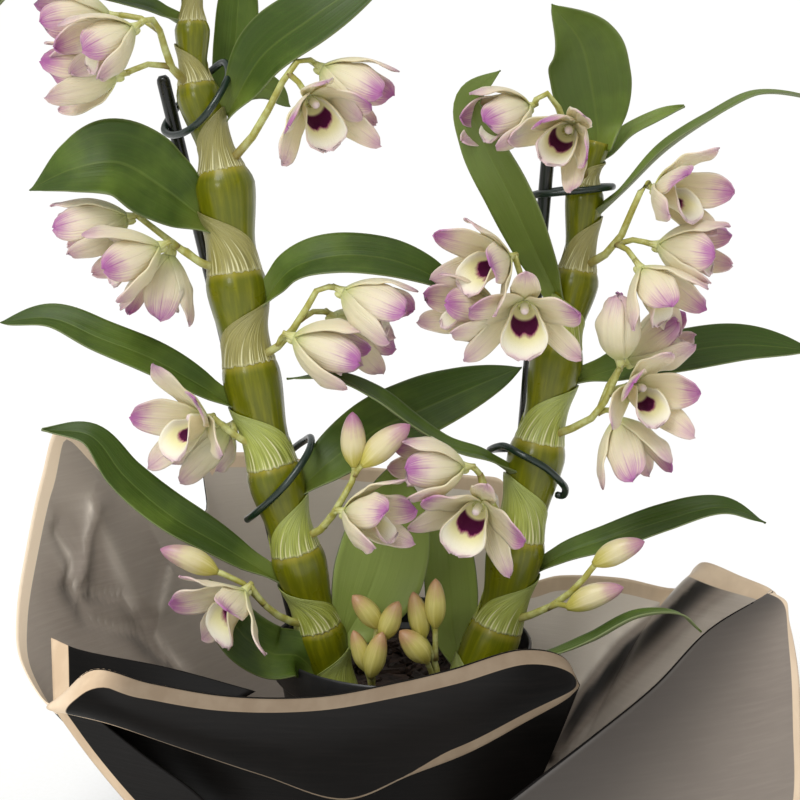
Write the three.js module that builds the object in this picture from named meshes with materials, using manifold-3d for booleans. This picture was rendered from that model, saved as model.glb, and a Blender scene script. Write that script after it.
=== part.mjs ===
// Dendrobium orchid in its pot: two leafy canes that lean apart, their stakes, clips and flower sprays, and
// the two-tone paper folded round the pot. Millimetres, +Z up, -Y to the front, the paper's base on the
// floor at Z = 0.
import * as THREE from 'three';
import { mergeVertices } from 'three/addons/utils/BufferGeometryUtils.js';
import Module from 'manifold-3d';

const wasm = await Module();
wasm.setup();

// ---------------------------------------------------------------- driving dimensions

const DEG = Math.PI / 180;
const GOLDEN_ANGLE = 137.5 * DEG;
const GAP = 0.35; // clearance that a piece keeps to what it touches
const PAPER = 1.2; // thickness of the folded wrap
const WRAP_FOOT = 56; // radius of the wrap where it leaves the floor
const POT = {
  rim: 60, foot: 43, shoulder: 56.5, height: 110, rimDepth: 15, wall: 1.5, floor: 2.5, round: 0.8,
};
const POT_SIDES = 28;
const BARK = { top: 93, clearance: 0.8 }; // top of the fill under its chips, and how far it is off the pot
const CHIP = { count: 9, length: 13, vary: 6, width: 8, height: 9, tilt: 0.25, reach: 48 };
const CANE_SIDES = 10;
const SHEATH = 0.6; // how far the papery sheaths stand out from a cane
const STAKE_RADIUS = 3;
const WIRE_RADIUS = 1.6;
const STEM_RADIUS = 1.6;
const PEDICEL_RADIUS = 1.2;
const PEDICEL_ARCH = 0.12; // how far a pedicel arches up, as a share of its length
const BLADE = 1.1; // thickness of a leaf at its midrib
const PETAL = 1.1; // thickness of a petal at its middle
const LEAST_OVERLAP = 0.004; // cubic millimetres that two pieces may share before one is cut back

// The plant's points are noted as [across, up, back], the way they are sighted from in front of the plant:
// across and up are measured in the upright plane through the aim, and the sight line is then followed back
// to the depth given.
const SIGHT = { distance: 950, lift: 14 * DEG, aimHeight: 224 };

// One entry an internode in radii and leafSide, from the foot up. leafSide is -1 for left and 1 for right.
const CANE_LEFT = {
  nodes: [
    [-27, -155, -26], [-29.5, -131, -26], [-38, -101, -27], [-48, -67, -30], [-58.5, -29, -26], [-69, 17, -20],
    [-75.5, 58, -14], [-81.5, 104, -8], [-93, 143, -2], [-94.5, 171, 2], [-95, 198, 5],
  ],
  radii: [11.5, 11.5, 12, 12.3, 12.8, 13.2, 13.4, 9.5, 7.5, 5.5],
  leafSide: [-1, 1, -1, 1, -1, 1, -1, 1, -1, 1],
};
const CANE_RIGHT = {
  nodes: [
    [21, -146, -24], [43, -101, -20], [52.5, -61, -18], [62, -18, -14], [71, 25, -8], [79, 59, -3],
    [83, 97, 2], [88, 116, 5],
  ],
  radii: [12.5, 13, 12.8, 11.8, 10.4, 8.4, 5.5],
  leafSide: [-1, 1, -1, 1, -1, 1, 1],
};
// Rings of one internode: the place along it, its share of the full radius, and 1 where the sheath covers
// it. The rings with a slant rise towards the leaf, where the sheath's edge runs up into the blade.
const INTERNODE = [
  { at: 0.03, share: 0.82, sheath: 1, slant: 0 },
  { at: 0.48, share: 0.96, sheath: 1, slant: 0.14 },
  { at: 0.48, share: 0.96, sheath: 0, slant: 0.14 },
  { at: 0.8, share: 1, sheath: 0, slant: 0 },
  { at: 0.95, share: 0.92, sheath: 0, slant: 0 },
];

// A leaf's route runs from its sheath to its tip, half is its half width, face is where its upper side looks,
// and a pointed one runs straight in to its tip.
const LEAVES_LEFT = [
  { half: 12, face: [-0.2, -0.8, 0.6],
    route: [[-36, -126, -30], [-47, -115, -38], [-58, -114, -43], [-70, -107, -45], [-80, -94, -41],
      [-87, -81, -35]] },
  { half: 20.5, face: [0.15, -1, 0.1],
    route: [[-27, -110, -28], [-17, -92, -24], [-9.5, -72, -18], [-5, -49.5, -12], [-4.5, -30, -4]] },
  { half: 10, face: [0.3, -0.6, 0.75],
    route: [[-54, -82, -30], [-80, -66, -34], [-104, -52, -36], [-125, -34, -34], [-140, -16, -30],
      [-162, -13.5, -26]] },
  { half: 15, face: [-0.1, -0.75, 0.65],
    route: [[-49, -43, -24], [-33, -28, -24], [-12, -13.5, -14], [8, -4.5, -4], [30.6, 5.4, 12],
      [54, 15, 22]] },
  { half: 9.5, face: [0.2, -0.6, 0.78],
    route: [[-72, -5, -22], [-91, 7, -28], [-113, 19, -30], [-136, 28, -28], [-158, 37, -22],
      [-181, 35, -18]] },
  { half: 11, face: [0, -0.65, 0.75],
    route: [[-64, 42, -18], [-50, 59, -24], [-30, 65, -28], [-8, 64, -28], [10, 58, -26], [27, 48, -22]] },
  { half: 18.5, pointed: true, face: [-0.1, -0.8, 0.6],
    route: [[-86, 79, -12], [-108, 96, -24], [-128, 107, -30], [-149, 104, -30], [-168, 94.5, -24]] },
  { half: 14.5, face: [-0.25, -0.85, 0.5],
    route: [[-79, 128, -6], [-63, 155, -14], [-41, 172, -20], [-19, 187, -18], [-1, 198, -12]] },
  { half: 9.5, face: [0, -1, 0.1],
    route: [[-86, 133, 10], [-77, 150, 20], [-74, 175, 22], [-73, 205, 22]] },
  { half: 7, face: [0.1, -0.8, 0.6],
    route: [[-84, 133, -2], [-69, 141, 6], [-58, 139, 12], [-50, 132, 16]] },
  { half: 9, face: [0, -0.35, 1],
    route: [[-97, 168, 4], [-113, 177, 2], [-134, 182, 0], [-154, 189, -2], [-174, 200, -4]] },
  { half: 9, face: [0.1, -0.4, 0.9],
    route: [[-94, 188, 4], [-118, 205, -10], [-145, 207, -16], [-167, 193.5, -16], [-184.5, 175, -12]] },
];
const LEAVES_RIGHT = [
  { half: 12, face: [0.1, -1, 0.1],
    route: [[29, -124, -14], [24, -108, -5], [22, -85.5, 0], [20, -63, 2], [17, -40, 4]] },
  { half: 7, face: [0, 0.1, 1],
    route: [[31, -130, -24], [47, -115, -36], [63, -115, -46], [85, -108, -50], [107, -97, -50],
      [125, -96, -48], [135, -104, -46]] },
  { half: 8, face: [-0.1, -0.5, 0.85],
    route: [[56, -80, -16], [71, -70, -18], [93.6, -62, -20], [118, -54, -22], [145, -48, -22],
      [164, -55, -20]] },
  { half: 8, face: [0.35, -0.15, 0.93],
    route: [[54, -36, -18], [38.7, -25.7, -28], [21.6, -20.7, -34], [4.5, -10.8, -38], [-12, 2, -38],
      [-30, 10.8, -36], [-52, 10, -32]] },
  { half: 11, face: [-0.1, -0.7, 0.7],
    route: [[76, 8, -10], [98, 15, -4], [125, 21.6, 2], [152, 25, 6], [184.5, 22.5, 8]] },
  { half: 11, face: [-0.5, -0.8, 0.2],
    route: [[72, 42, -8], [58.5, 70, -18], [47.7, 93.6, -22], [36, 117, -24], [30.6, 135, -24],
      [44, 148.5, -28]] },
  { half: 8, face: [-0.45, -0.05, 0.89],
    route: [[84, 80, 0], [100, 95, -8], [118, 112.5, -12], [138.6, 127, -14], [159, 138, -12], [179, 137, -8],
      [192.6, 131, -4]] },
  { half: 17.5, pointed: true, face: [0, -1, 0.1],
    route: [[88, 112, 5], [88, 121, 6], [85.5, 140, 4], [80.5, 160.5, 0], [67.5, 178, -12]] },
  { half: 4, face: [-0.3, -0.6, 0.7],
    route: [[88, 106, 5], [102.6, 121.5, 12], [114, 128, 14], [127, 132, 16]] },
];

// A spray's stalk leaves its cane at root and runs through stem. Each bloom and bud hangs from the last
// stem point, or from the one that from gives. aim is where a bloom looks or a bud points, as [right, back,
// up], spread is how far a bloom has opened, from 0 for a shut one to 1, and below 0 for a tight one, and roll
// turns it round its own axis, in degrees.
const SPRAYS = [
  { name: 'left_top', root: [-95, 141, -4], stem: [[-104, 150, -14], [-109, 166, -24], [-114, 172, -31]],
    blooms: [
      { at: [-122, 167, -36], aim: [-0.75, -0.5, -0.42], spread: 0.14 },
      { at: [-132, 172.5, -20], aim: [-1, -0.1, -0.12], spread: 0.2, roll: 20, from: 1 },
      { at: [-129, 146.5, -22], aim: [-1, -0.1, -0.12], spread: 0.2, roll: -15, from: 0 },
    ] },
  { name: 'left_upper', root: [-80, 104, -8],
    stem: [[-67, 119, -17], [-60, 131, -22], [-51.5, 147, -26], [-45, 154, -27]],
    blooms: [
      { at: [-35.5, 149, -22], aim: [0.8, -0.2, -0.5], spread: 0.16, roll: 10 },
      { at: [-41.5, 135, -31], aim: [0.36, -0.8, -0.45], spread: 0.42, roll: -12, from: 2 },
    ] },
  { name: 'left_middle', root: [-78, 57, -14], stem: [[-91, 62, -22], [-101, 69, -25]],
    blooms: [
      { at: [-124, 82, -25], aim: [-1, -0.1, -0.25], spread: 0.06 },
      { at: [-110, 69, -36], aim: [-0.85, -0.35, -0.3], spread: 0.24, roll: 15, from: 1 },
      { at: [-105, 65, -20], aim: [-0.2, -0.15, -0.95], spread: 0.22, from: 0 },
    ] },
  { name: 'left_inner', root: [-68, 17, -20], stem: [[-56, 24, -28], [-46, 36, -32], [-37, 50.5, -33]],
    blooms: [
      { at: [-26, 48.5, -34], aim: [0.85, -0.2, -0.42], spread: 0.16, roll: 10 },
      { at: [-48, 28, -36], aim: [0.93, -0.2, -0.33], spread: 0.08, roll: -10, from: 0 },
      { at: [-31, 37, -18], aim: [0.5, 0.45, -0.6], spread: 0.1, from: 1 },
    ] },
  { name: 'left_lower', root: [-60, -24, -26], stem: [[-75, -16, -32]],
    blooms: [
      { at: [-89, -8.5, -34], aim: [-0.66, -0.74, -0.08], spread: 0.66, roll: -18 },
      { at: [-79, -13, -21], aim: [-0.6, 0.35, -0.6], spread: 0.15 },
    ] },
  { name: 'left_foot', root: [-40, -101, -27], stem: [[-52, -99, -38], [-62, -92, -47]],
    blooms: [{ at: [-71.5, -86.5, -53], aim: [-0.6, -0.55, -0.5], spread: 0.68, roll: -10 }],
    buds: [{ at: [-83, -77.5, -50], aim: [-0.9, -0.1, 0.42], length: 27, radius: 5.4, from: 1 }] },
  { name: 'centre', root: [-48, -64, -28], stem: [[-35, -57, -38], [-28.5, -47, -44], [-21.5, -34, -46]],
    blooms: [{ at: [-25, -50.5, -48], aim: [0.75, -0.5, -0.02], spread: 0.22, roll: 12, from: 0 }],
    buds: [
      { at: [-21.6, -30, -46], aim: [-0.02, -0.1, 1], length: 25, radius: 5.6 },
      { at: [-18, -29.5, -48], aim: [0.74, -0.1, 0.68], length: 28, radius: 6 },
    ] },
  { name: 'young_left', root: [-14, -156, -34], stem: [[-13.5, -130.5, -36], [-13.5, -119, -40]],
    buds: [
      { at: [-10, -102.6, -40], aim: [-0.6, -0.1, 0.8], length: 20, radius: 5 },
      { at: [-8.5, -108, -42], aim: [0.35, -0.1, 0.95], length: 20, radius: 4.9 },
      { at: [-16, -122, -42], aim: [-0.3, 0, 1], length: 20, radius: 4.2, from: 0 },
      { at: [-14.4, -125, -46], aim: [0.25, -0.1, 1], length: 23, radius: 5, from: 0 },
    ] },
  { name: 'young_right', root: [14, -156, -32], stem: [[15, -130.5, -34], [15, -117, -38]],
    buds: [
      { at: [9.5, -108, -38], aim: [-0.2, 0, 1], length: 23, radius: 4.8 },
      { at: [15, -102.6, -40], aim: [0, 0, 1], length: 23, radius: 4.8 },
      { at: [11.7, -118, -44], aim: [-0.6, -0.1, 0.75], length: 20, radius: 5.6, from: 0 },
    ] },
  { name: 'right_top', root: [83, 98, 1],
    stem: [[78, 112.5, -8], [71.5, 127, -13], [68, 137, -16], [62, 137.5, -17]],
    blooms: [
      { at: [56, 131.5, -18], aim: [-0.7, -0.55, -0.22], spread: 0.06, roll: 0 },
      { at: [75, 122, -22], aim: [-0.28, -0.93, -0.2], spread: 0.24, roll: 40, from: 0 },
    ] },
  { name: 'right_upper', root: [80, 59, -3],
    stem: [[90, 64.5, -14], [96.5, 70, -18], [102, 82, -20], [110, 98, -23]],
    blooms: [
      { at: [115, 95, -24], aim: [0.62, -0.76, -0.08], spread: 0.34, roll: 20 },
      { at: [116, 69.5, -26], aim: [0.85, -0.4, -0.12], spread: 0.14, roll: -10, from: 1 },
      { at: [108, 58.5, -32], aim: [0.45, -0.5, -0.62], spread: 0.32, roll: 15, from: 1 },
    ] },
  { name: 'right_middle', root: [64, -17, -14], stem: [[76, -13, -24], [88, -6, -31], [92.5, 2, -35]],
    blooms: [
      { at: [98, 19, -37], aim: [-0.04, -0.1, 1], spread: -0.3 },
      { at: [104, 5, -34], aim: [0.36, -0.92, -0.06], spread: 0.4, roll: 12 },
      { at: [97, -9, -31], aim: [0.35, -0.35, -0.8], spread: 0.22, from: 1 },
      { at: [103, 18, -14], aim: [0.65, -0.15, 0.45], spread: 0.06, from: 1 },
    ] },
  { name: 'right_inner', root: [70, 25, -8], stem: [[60, 36, -24], [56, 48, -30]],
    blooms: [
      { at: [47, 64, -35], aim: [-0.75, -0.62, -0.12], spread: 0.48, roll: 12 },
      { at: [41, 40, -30], aim: [-0.85, -0.5, 0.12], spread: 0.1, from: 0 },
      { at: [55, 43, -38], aim: [-0.03, -0.87, -0.45], spread: 0.72, from: 0 },
    ] },
  { name: 'right_lower', root: [53, -61, -18], stem: [[40.5, -47, -34], [35, -33, -38]],
    blooms: [
      { at: [27, -30, -42], aim: [-0.92, -0.3, 0.06], spread: 0.08, roll: 15 },
      { at: [35, -47, -42], aim: [-0.36, -0.85, -0.42], spread: 0.68, roll: 26 },
    ] },
  { name: 'right_foot', root: [44, -101, -20], stem: [[65.7, -93.6, -34], [78, -84.6, -40]],
    buds: [
      { at: [86, -74, -42], aim: [0.85, -0.15, 0.46], length: 25, radius: 5.4 },
      { at: [74, -93.5, -42], aim: [0.9, -0.15, 0.4], length: 27, radius: 5.5, from: 0 },
    ] },
];

// Five tepals and the lip of a bloom. az turns round the bloom's axis with 90 at the top. shut and open are
// the angles to the axis at the base and at the tip, start is the distance from the axis at the base, and
// blunt the width left at the tip.
const SEPAL = { length: 33, half: 6.2, shut: [58, -22], open: [60, 74], start: 2, blunt: 0 };
const SIDE_PETAL = { length: 32, half: 8.6, shut: [50, -24], open: [52, 68], start: 1.4, blunt: 0 };
const LIP = { length: 24, half: 9, shut: [24, 2], open: [30, 54], start: 1.7, blunt: 0.35 };
const TEPALS = [
  { ...SEPAL, az: 90 }, { ...SEPAL, az: 210 }, { ...SEPAL, az: 330 },
  { ...SIDE_PETAL, az: 27 }, { ...SIDE_PETAL, az: 153 },
  { ...LIP, az: 270 },
];
const RECEPTACLE = { back: 5, front: 1.4, backRadius: 1.6, frontRadius: 3.6 };

const STAKES = [
  { name: 'stake_left', foot: [-30, -175, 2], top: [-108, 146, 6] },
  { name: 'stake_right', foot: [41.5, -168, 2], top: [67, 125, 4] },
];

// Bent wire clips that hold a cane to its stake. A closed one runs back to its first point.
const CLIPS = [
  { name: 'clip_right_top', closed: true,
    route: [[58.3, 92, 2], [62, 92.5, -4.5], [72, 93.5, -8], [83, 94.5, -9], [91, 95.5, -6], [94.7, 96, 2],
      [91, 96, 10], [83, 95.5, 13], [72, 94.5, 11], [62, 93, 8]] },
  { name: 'clip_right_low', closed: false,
    route: [[52, -22, 8], [44, -22, 2], [39.6, -22.4, -10], [46, -20.7, -22], [54, -24.7, -30.5],
      [64.3, -30.4, -31.5], [71.2, -36.7, -28], [73.5, -40.2, -22], [72.3, -43, -18], [68.9, -42.5, -17]] },
  { name: 'clip_left_low', closed: false,
    route: [[-70, -54, -30], [-66, -51, -38], [-58, -44, -43.5], [-49, -34, -42], [-42, -23, -32],
      [-41, -17, -20], [-45, -19, -8], [-54, -25, 6], [-66, -29, 10]] },
  { name: 'clip_left_top', closed: true,
    route: [[-107, 122, 4], [-104.5, 119.5, -3], [-99, 120, -11], [-92, 124.5, -17], [-86, 131.5, -18],
      [-81, 139.5, -13], [-78, 147, -3], [-80, 152, 6], [-86, 148, 13], [-96, 138, 16], [-104, 128, 11]] },
];

// The wrap's wall: where its top edge runs, and the heading of the column of paper below it, from 0 at the
// front round by the left (90) and the back (180) to where the sheet laps over its own start.
const WALL = [
  { top: [80, -128, -80], heading: -35 }, { top: [72.5, -115.5, -84], heading: -30 },
  { top: [54, -112, -90], heading: -22 }, { top: [22, -121, -96], heading: -10 },
  { top: [-1, -126.5, -98], heading: 0 }, { top: [-37, -133, -99], heading: 12 },
  { top: [-77.5, -133, -95], heading: 26 }, { top: [-113.5, -127, -88], heading: 40 },
  { top: [-138.5, -121, -80], heading: 50 }, { top: [-154, -133.5, -72], heading: 58 },
  { top: [-160.5, -135.5, -58], heading: 66 }, { top: [-172, -115, -42], heading: 76 },
  { top: [-173, -94.5, -28], heading: 86 }, { top: [-168.5, -65, -12], heading: 98 },
  { top: [-162, -35, 2], heading: 108 }, { top: [-154, -11.5, 12], heading: 118 },
  { top: [-136, -23.5, 25], heading: 126 }, { top: [-113.5, -37, 40], heading: 136 },
  { top: [-88.5, -50.5, 56], heading: 146 }, { top: [-88, -27, 68], heading: 152 },
  { top: [-68.5, -23.5, 76], heading: 160 }, { top: [-37, -28, 84], heading: 172 },
  { top: [-1, -31.5, 86], heading: 186 }, { top: [30.5, -34, 82], heading: 196 },
  { top: [45.5, -37, 78], heading: 202 }, { top: [40.5, -70, 72], heading: 208 },
  { top: [53, -82, 66], heading: 215 }, { top: [71, -79, 62], heading: 224 },
  { top: [98, -80, 54], heading: 236 }, { top: [125, -84.5, 44], heading: 248 },
  { top: [131.5, -75.5, 34], heading: 256 }, { top: [137, -73, 22], heading: 264 },
  { top: [152, -79, 8], heading: 272 }, { top: [166.5, -85.5, -8], heading: 282 },
  { top: [162, -88.5, -20], heading: 290 }, { top: [137.5, -103.5, -46], heading: 302 },
  { top: [114, -128, -68], heading: 314 }, { top: [86.5, -150.5, -88], heading: 326 },
  { top: [64.5, -167.5, -98], heading: 338 }, { top: [46.5, -181.5, -104], heading: 350 },
];
const WALL_ROWS = [0, 0.35, 0.72, 1];
// The columns that the base spans once round, from the sheet's start to where it laps over.
const BASE_COLUMNS = [3, 39];
// The front cuff turns down from the wall's first columns to this edge, and the right panel from its last
// ones.
const CUFF_COLUMNS = [0, 9];
const CUFF_EDGE = [
  [79, -130, -83], [73.5, -135, -92], [55.5, -145, -101], [30.5, -158.5, -107], [3.5, -169, -110],
  [-25.5, -180, -113], [-63, -169, -109], [-102, -156, -101], [-131.5, -146, -91], [-152, -141, -78],
];
const PANEL_COLUMNS = [33, 39];
const PANEL_EDGE = [
  [168, -86.5, -10], [173, -95.5, -21], [178, -119, -36], [180, -148.5, -50], [180.5, -180, -62],
  [174.5, -207, -72], [152, -227, -80],
];
// On the left, a strip of the sheet's corner shows below the cuff, and a dark flap stands behind the cuff.
const CORNER_OUTER = [[-157.5, -137, -66], [-140.5, -160.5, -64], [-123.5, -181, -62], [-102, -203, -58]];
const CORNER_INNER = [[-143, -138, -78], [-118, -158, -84], [-91, -178, -86], [-72, -200, -80]];
const FLAP_TOP = [[-158, -107, -47], [-146, -112, -56], [-104.5, -120.5, -76], [-66, -131, -88]];
const FLAP_FOOT = [[-157, -136, -60], [-142, -136, -72], [-112, -138, -86], [-84, -141, -92]];

const COLOURS = {
  cane: { color: 0x6f7a18, roughness: 0.3, metalness: 0 },
  leaf: { color: 0x3d6b33, roughness: 0.45, metalness: 0 },
  bloom: { color: 0xf3ecc4, roughness: 0.5, metalness: 0 },
  stake: { color: 0x121512, roughness: 0.25, metalness: 0 },
  wire: { color: 0x1c2b22, roughness: 0.3, metalness: 0 },
  pot: { color: 0x17181a, roughness: 0.4, metalness: 0 },
  bark: { color: 0x4a3222, roughness: 0.9, metalness: 0 },
  paper: { color: 0x7d7167, roughness: 0.6, metalness: 0 },
};

// ---------------------------------------------------------------- solids

// The point that a sighting [across, up, back] stands for.
function place([across, up, back]) {
  const cos = Math.cos(SIGHT.lift);
  const sin = Math.sin(SIGHT.lift);
  const reach = SIGHT.distance + back * cos;
  const rise = (up * reach - SIGHT.distance * back * sin) / (SIGHT.distance * cos + up * sin);
  const depth = reach - rise * sin;
  return new THREE.Vector3((across * depth) / SIGHT.distance, back, SIGHT.aimHeight + rise);
}

// A manifold solid from vertices and triangles. Triangles that merging has closed up are dropped.
function solidFrom(positions, index) {
  const geometry = new THREE.BufferGeometry();
  geometry.setAttribute('position', new THREE.Float32BufferAttribute(positions, 3));
  geometry.setIndex(index);
  const merged = mergeVertices(geometry, 1e-3);
  const kept = [];
  for (let i = 0; i < merged.index.count; i += 3) {
    const [a, b, c] = [0, 1, 2].map((k) => merged.index.getX(i + k));
    if (a !== b && b !== c && c !== a) kept.push(a, b, c);
  }
  const vertProperties = merged.attributes.position.array;
  const closed = (corners) => new wasm.Manifold(
    new wasm.Mesh({ numProp: 3, vertProperties, triVerts: new Uint32Array(corners) }));
  const solid = closed(kept);
  return solid.volume() > 0 ? solid : closed(kept.reverse());
}

// The solid of a closed three.js geometry.
function solidOf(geometry) {
  const positions = geometry.attributes.position.array;
  const index = geometry.index ? geometry.index.array : Array(positions.length / 3).keys();
  return solidFrom(Array.from(positions), Array.from(index));
}

const join = (solids) => solids.reduce((whole, solid) => whole.add(solid));

// A closed solid skinned over rings of points, with a fan over each end.
function loft(rings) {
  const sides = rings[0].length;
  const middle = (ring) =>
    ring.reduce((sum, point) => sum.add(point), new THREE.Vector3()).divideScalar(sides);
  const points = [...rings.flat(), middle(rings[0]), middle(rings.at(-1))];
  const [foot, head] = [points.length - 2, points.length - 1];
  const index = [];
  for (let k = 0; k < sides; k++) {
    const next = (k + 1) % sides;
    for (let i = 0; i < rings.length - 1; i++) {
      const [a, b] = [i * sides + k, i * sides + next];
      index.push(a, b, b + sides, a, b + sides, a + sides);
    }
    const last = (rings.length - 1) * sides;
    index.push(foot, next, k, head, last + k, last + next);
  }
  return solidFrom(points.flatMap((point) => point.toArray()), index);
}

// A sheet over a grid of points, with half(i, j) of thickness on each side. Both faces are split alike.
function skin(grid, half) {
  const [rows, columns] = [grid.length, grid[0].length];
  const clamp = (value, count) => Math.min(Math.max(value, 0), count - 1);
  const at = (i, j) => grid[clamp(i, rows)][clamp(j, columns)];
  const [over, under] = [[], []];
  for (let i = 0; i < rows; i++)
    for (let j = 0; j < columns; j++) {
      const along = at(i + 1, j).clone().sub(at(i - 1, j));
      const across = at(i, j + 1).clone().sub(at(i, j - 1));
      const normal = along.cross(across).normalize().multiplyScalar(half(i, j));
      over.push(at(i, j).clone().add(normal));
      under.push(at(i, j).clone().sub(normal));
    }
  const size = rows * columns;
  const index = [];
  const wall = (a, b) => index.push(a, b, b + size, a, b + size, a + size);
  for (let i = 0; i < rows - 1; i++)
    for (let j = 0; j < columns - 1; j++) {
      const [a, d] = [i * columns + j, (i + 1) * columns + j];
      const [b, c] = [a + 1, d + 1];
      index.push(a, c, b, a, d, c, a + size, b + size, c + size, a + size, c + size, d + size);
    }
  for (let j = 0; j < columns - 1; j++) {
    wall(j, j + 1);
    wall((rows - 1) * columns + j + 1, (rows - 1) * columns + j);
  }
  for (let i = 0; i < rows - 1; i++) {
    wall((i + 1) * columns, i * columns);
    wall(i * columns + columns - 1, (i + 1) * columns + columns - 1);
  }
  return solidFrom([...over, ...under].flatMap((point) => point.toArray()), index);
}

// A rod with flat ends along a smooth route.
function rod(points, radius, sides) {
  const corners = Array.from({ length: sides }, (_, k) => {
    const angle = (2 * Math.PI * k) / sides;
    return new THREE.Vector2(radius * Math.cos(angle), radius * Math.sin(angle));
  });
  const along = {
    extrudePath: new THREE.CatmullRomCurve3(points, false, 'centripetal'),
    steps: points.length - 1,
    bevelEnabled: false,
  };
  return solidOf(new THREE.ExtrudeGeometry(new THREE.Shape(corners), along));
}

function boxesMeet(a, b) {
  const [p, q] = [a.boundingBox(), b.boundingBox()];
  return [0, 1, 2].every((k) => p.min[k] < q.max[k] + GAP && q.min[k] < p.max[k] + GAP);
}

// What is left of a solid that meets a neighbour, once the neighbour's room is cut away. A loose scrap goes.
function keepClear(solid, { own, room }) {
  if (!boxesMeet(solid, own) || solid.intersect(own).volume() < LEAST_OVERLAP) return solid;
  const bodies = solid.subtract(room).decompose();
  return bodies.reduce((most, body) => (body.volume() > most.volume() ? body : most));
}

// ---------------------------------------------------------------- canes

// A cane through its nodes: each internode swells from a narrow foot wrapped in its sheath and steps in at
// the ring above. extra makes it thicker and longer.
function caneSolid(cane, extra = 0) {
  const curve = new THREE.CatmullRomCurve3(cane.nodes.map(place), false, 'centripetal');
  const spans = cane.nodes.length - 1;
  const rings = [];
  for (let span = 0; span < spans; span++)
    for (const ring of INTERNODE) {
      const share = (span + ring.at) / spans;
      const centre = curve.getPoint(share);
      const axis = curve.getTangent(share);
      const right = new THREE.Vector3(1, 0, 0).addScaledVector(axis, -axis.x).normalize();
      const back = axis.clone().cross(right);
      const radius = cane.radii[span] * ring.share + SHEATH * ring.sheath + extra;
      const length = curve.getPoint((span + 1) / spans).distanceTo(curve.getPoint(span / spans));
      centre.addScaledVector(axis, rings.length === 0 ? -extra : extra);
      const points = [];
      for (let k = 0; k < CANE_SIDES; k++) {
        const angle = (2 * Math.PI * k) / CANE_SIDES;
        const rise = ring.slant * length * Math.cos(angle) * cane.leafSide[span];
        points.push(centre.clone().addScaledVector(right, radius * Math.cos(angle))
          .addScaledVector(back, radius * Math.sin(angle)).addScaledVector(axis, rise));
      }
      rings.push(points);
    }
  return loft(rings);
}

// ---------------------------------------------------------------- leaves

const LEAF_STATIONS = [0, 0.14, 0.34, 0.56, 0.76, 0.92, 1];
const LEAF_COLUMNS = [-1, 0, 1];
const CHANNEL = 0.22; // how far a blade's sides rise above its midrib, as a share of its half width

// How a blade narrows to its tip: from which share of its length on, and how.
const ROUNDED = { from: 0.6, power: 2.2, fullness: 0.6 };
const POINTED = { from: 0.55, power: 1.35, fullness: 1 };

// Share of a blade's full width: narrow where it leaves the sheath, and in to a point at its tip.
function leafWidth(t, { from, power, fullness }) {
  const foot = 0.28 + 0.72 * THREE.MathUtils.smoothstep(t, 0, 0.35);
  return t < from ? foot : foot * Math.pow(1 - Math.pow((t - from) / (1 - from), power), fullness);
}

function leafSolid({ route, half, face, pointed = false }, extra = 0) {
  const curve = new THREE.CatmullRomCurve3(route.map(place), false, 'centripetal');
  const facing = new THREE.Vector3(...face);
  const grid = LEAF_STATIONS.map((t) => {
    const spine = curve.getPointAt(t);
    const along = curve.getTangentAt(t);
    const side = along.clone().cross(facing).normalize();
    const up = side.clone().cross(along);
    const width = half * leafWidth(t, pointed ? POINTED : ROUNDED) + 3 * extra;
    return LEAF_COLUMNS.map((s) => spine.clone().addScaledVector(side, s * width)
      .addScaledVector(up, CHANNEL * width * s * s));
  });
  const thick = (i, j) =>
    (LEAF_STATIONS[i] === 1 && !extra ? 0 : (BLADE / 2 + extra) * Math.sqrt(1 - LEAF_COLUMNS[j] ** 2));
  return skin(grid, thick);
}

// ---------------------------------------------------------------- sprays

const TEPAL_STATIONS = [0, 0.52, 1];
const TEPAL_SHARES = [0.13, 1];
const TEPAL_COLUMNS = [-1, 0, 1];
const WIDEST_WRAP = 1.1; // the most that a tepal may curl round the bloom's axis on each side, in radians

// Axes of a bloom or bud: its own axis, and a right and an up square to it, turned round it by roll.
function axesOf({ aim, roll = 0 }) {
  const axis = new THREE.Vector3(...aim).normalize();
  const pole = Math.abs(axis.z) > 0.98 ? new THREE.Vector3(0, 1, 0) : new THREE.Vector3(0, 0, 1);
  const right = axis.clone().cross(pole).normalize().applyAxisAngle(axis, -roll * DEG);
  return { axis, right, up: right.clone().cross(axis) };
}

function ringAround(centre, { right, up }, radius, sides) {
  return Array.from({ length: sides }, (_, k) => {
    const angle = (2 * Math.PI * k) / sides;
    return centre.clone().addScaledVector(right, radius * Math.cos(angle))
      .addScaledVector(up, radius * Math.sin(angle));
  });
}

// One tepal: its middle line leaves the axis at the opening angle, and its sides curl round the axis.
function tepalSolid(base, axes, tepal, spread, extra) {
  const [atBase, atTip] = tepal.open.map((wide, k) =>
    THREE.MathUtils.lerp(tepal.shut[k], wide, spread) * DEG);
  const grid = [];
  let out = tepal.start;
  let ahead = 0;
  TEPAL_STATIONS.forEach((t, i) => {
    const step = i === 0 ? 0 : (t - TEPAL_STATIONS[i - 1]) * tepal.length;
    const angle = THREE.MathUtils.lerp(atBase, atTip, t - step / tepal.length / 2);
    out += step * Math.sin(angle);
    ahead += step * Math.cos(angle);
    const width = tepal.half * (TEPAL_SHARES[i] ?? tepal.blunt);
    const curl = Math.min(width / out, WIDEST_WRAP);
    grid.push(TEPAL_COLUMNS.map((s) => {
      const turn = tepal.az * DEG + s * curl;
      return base.clone().addScaledVector(axes.axis, ahead).addScaledVector(axes.right, out * Math.cos(turn))
        .addScaledVector(axes.up, out * Math.sin(turn));
    }));
  });
  const last = TEPAL_STATIONS.length - 1;
  return skin(grid, (i, j) => (j === 1 && (i < last || tepal.blunt > 0) ? PETAL / 2 + extra : 0));
}

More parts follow.
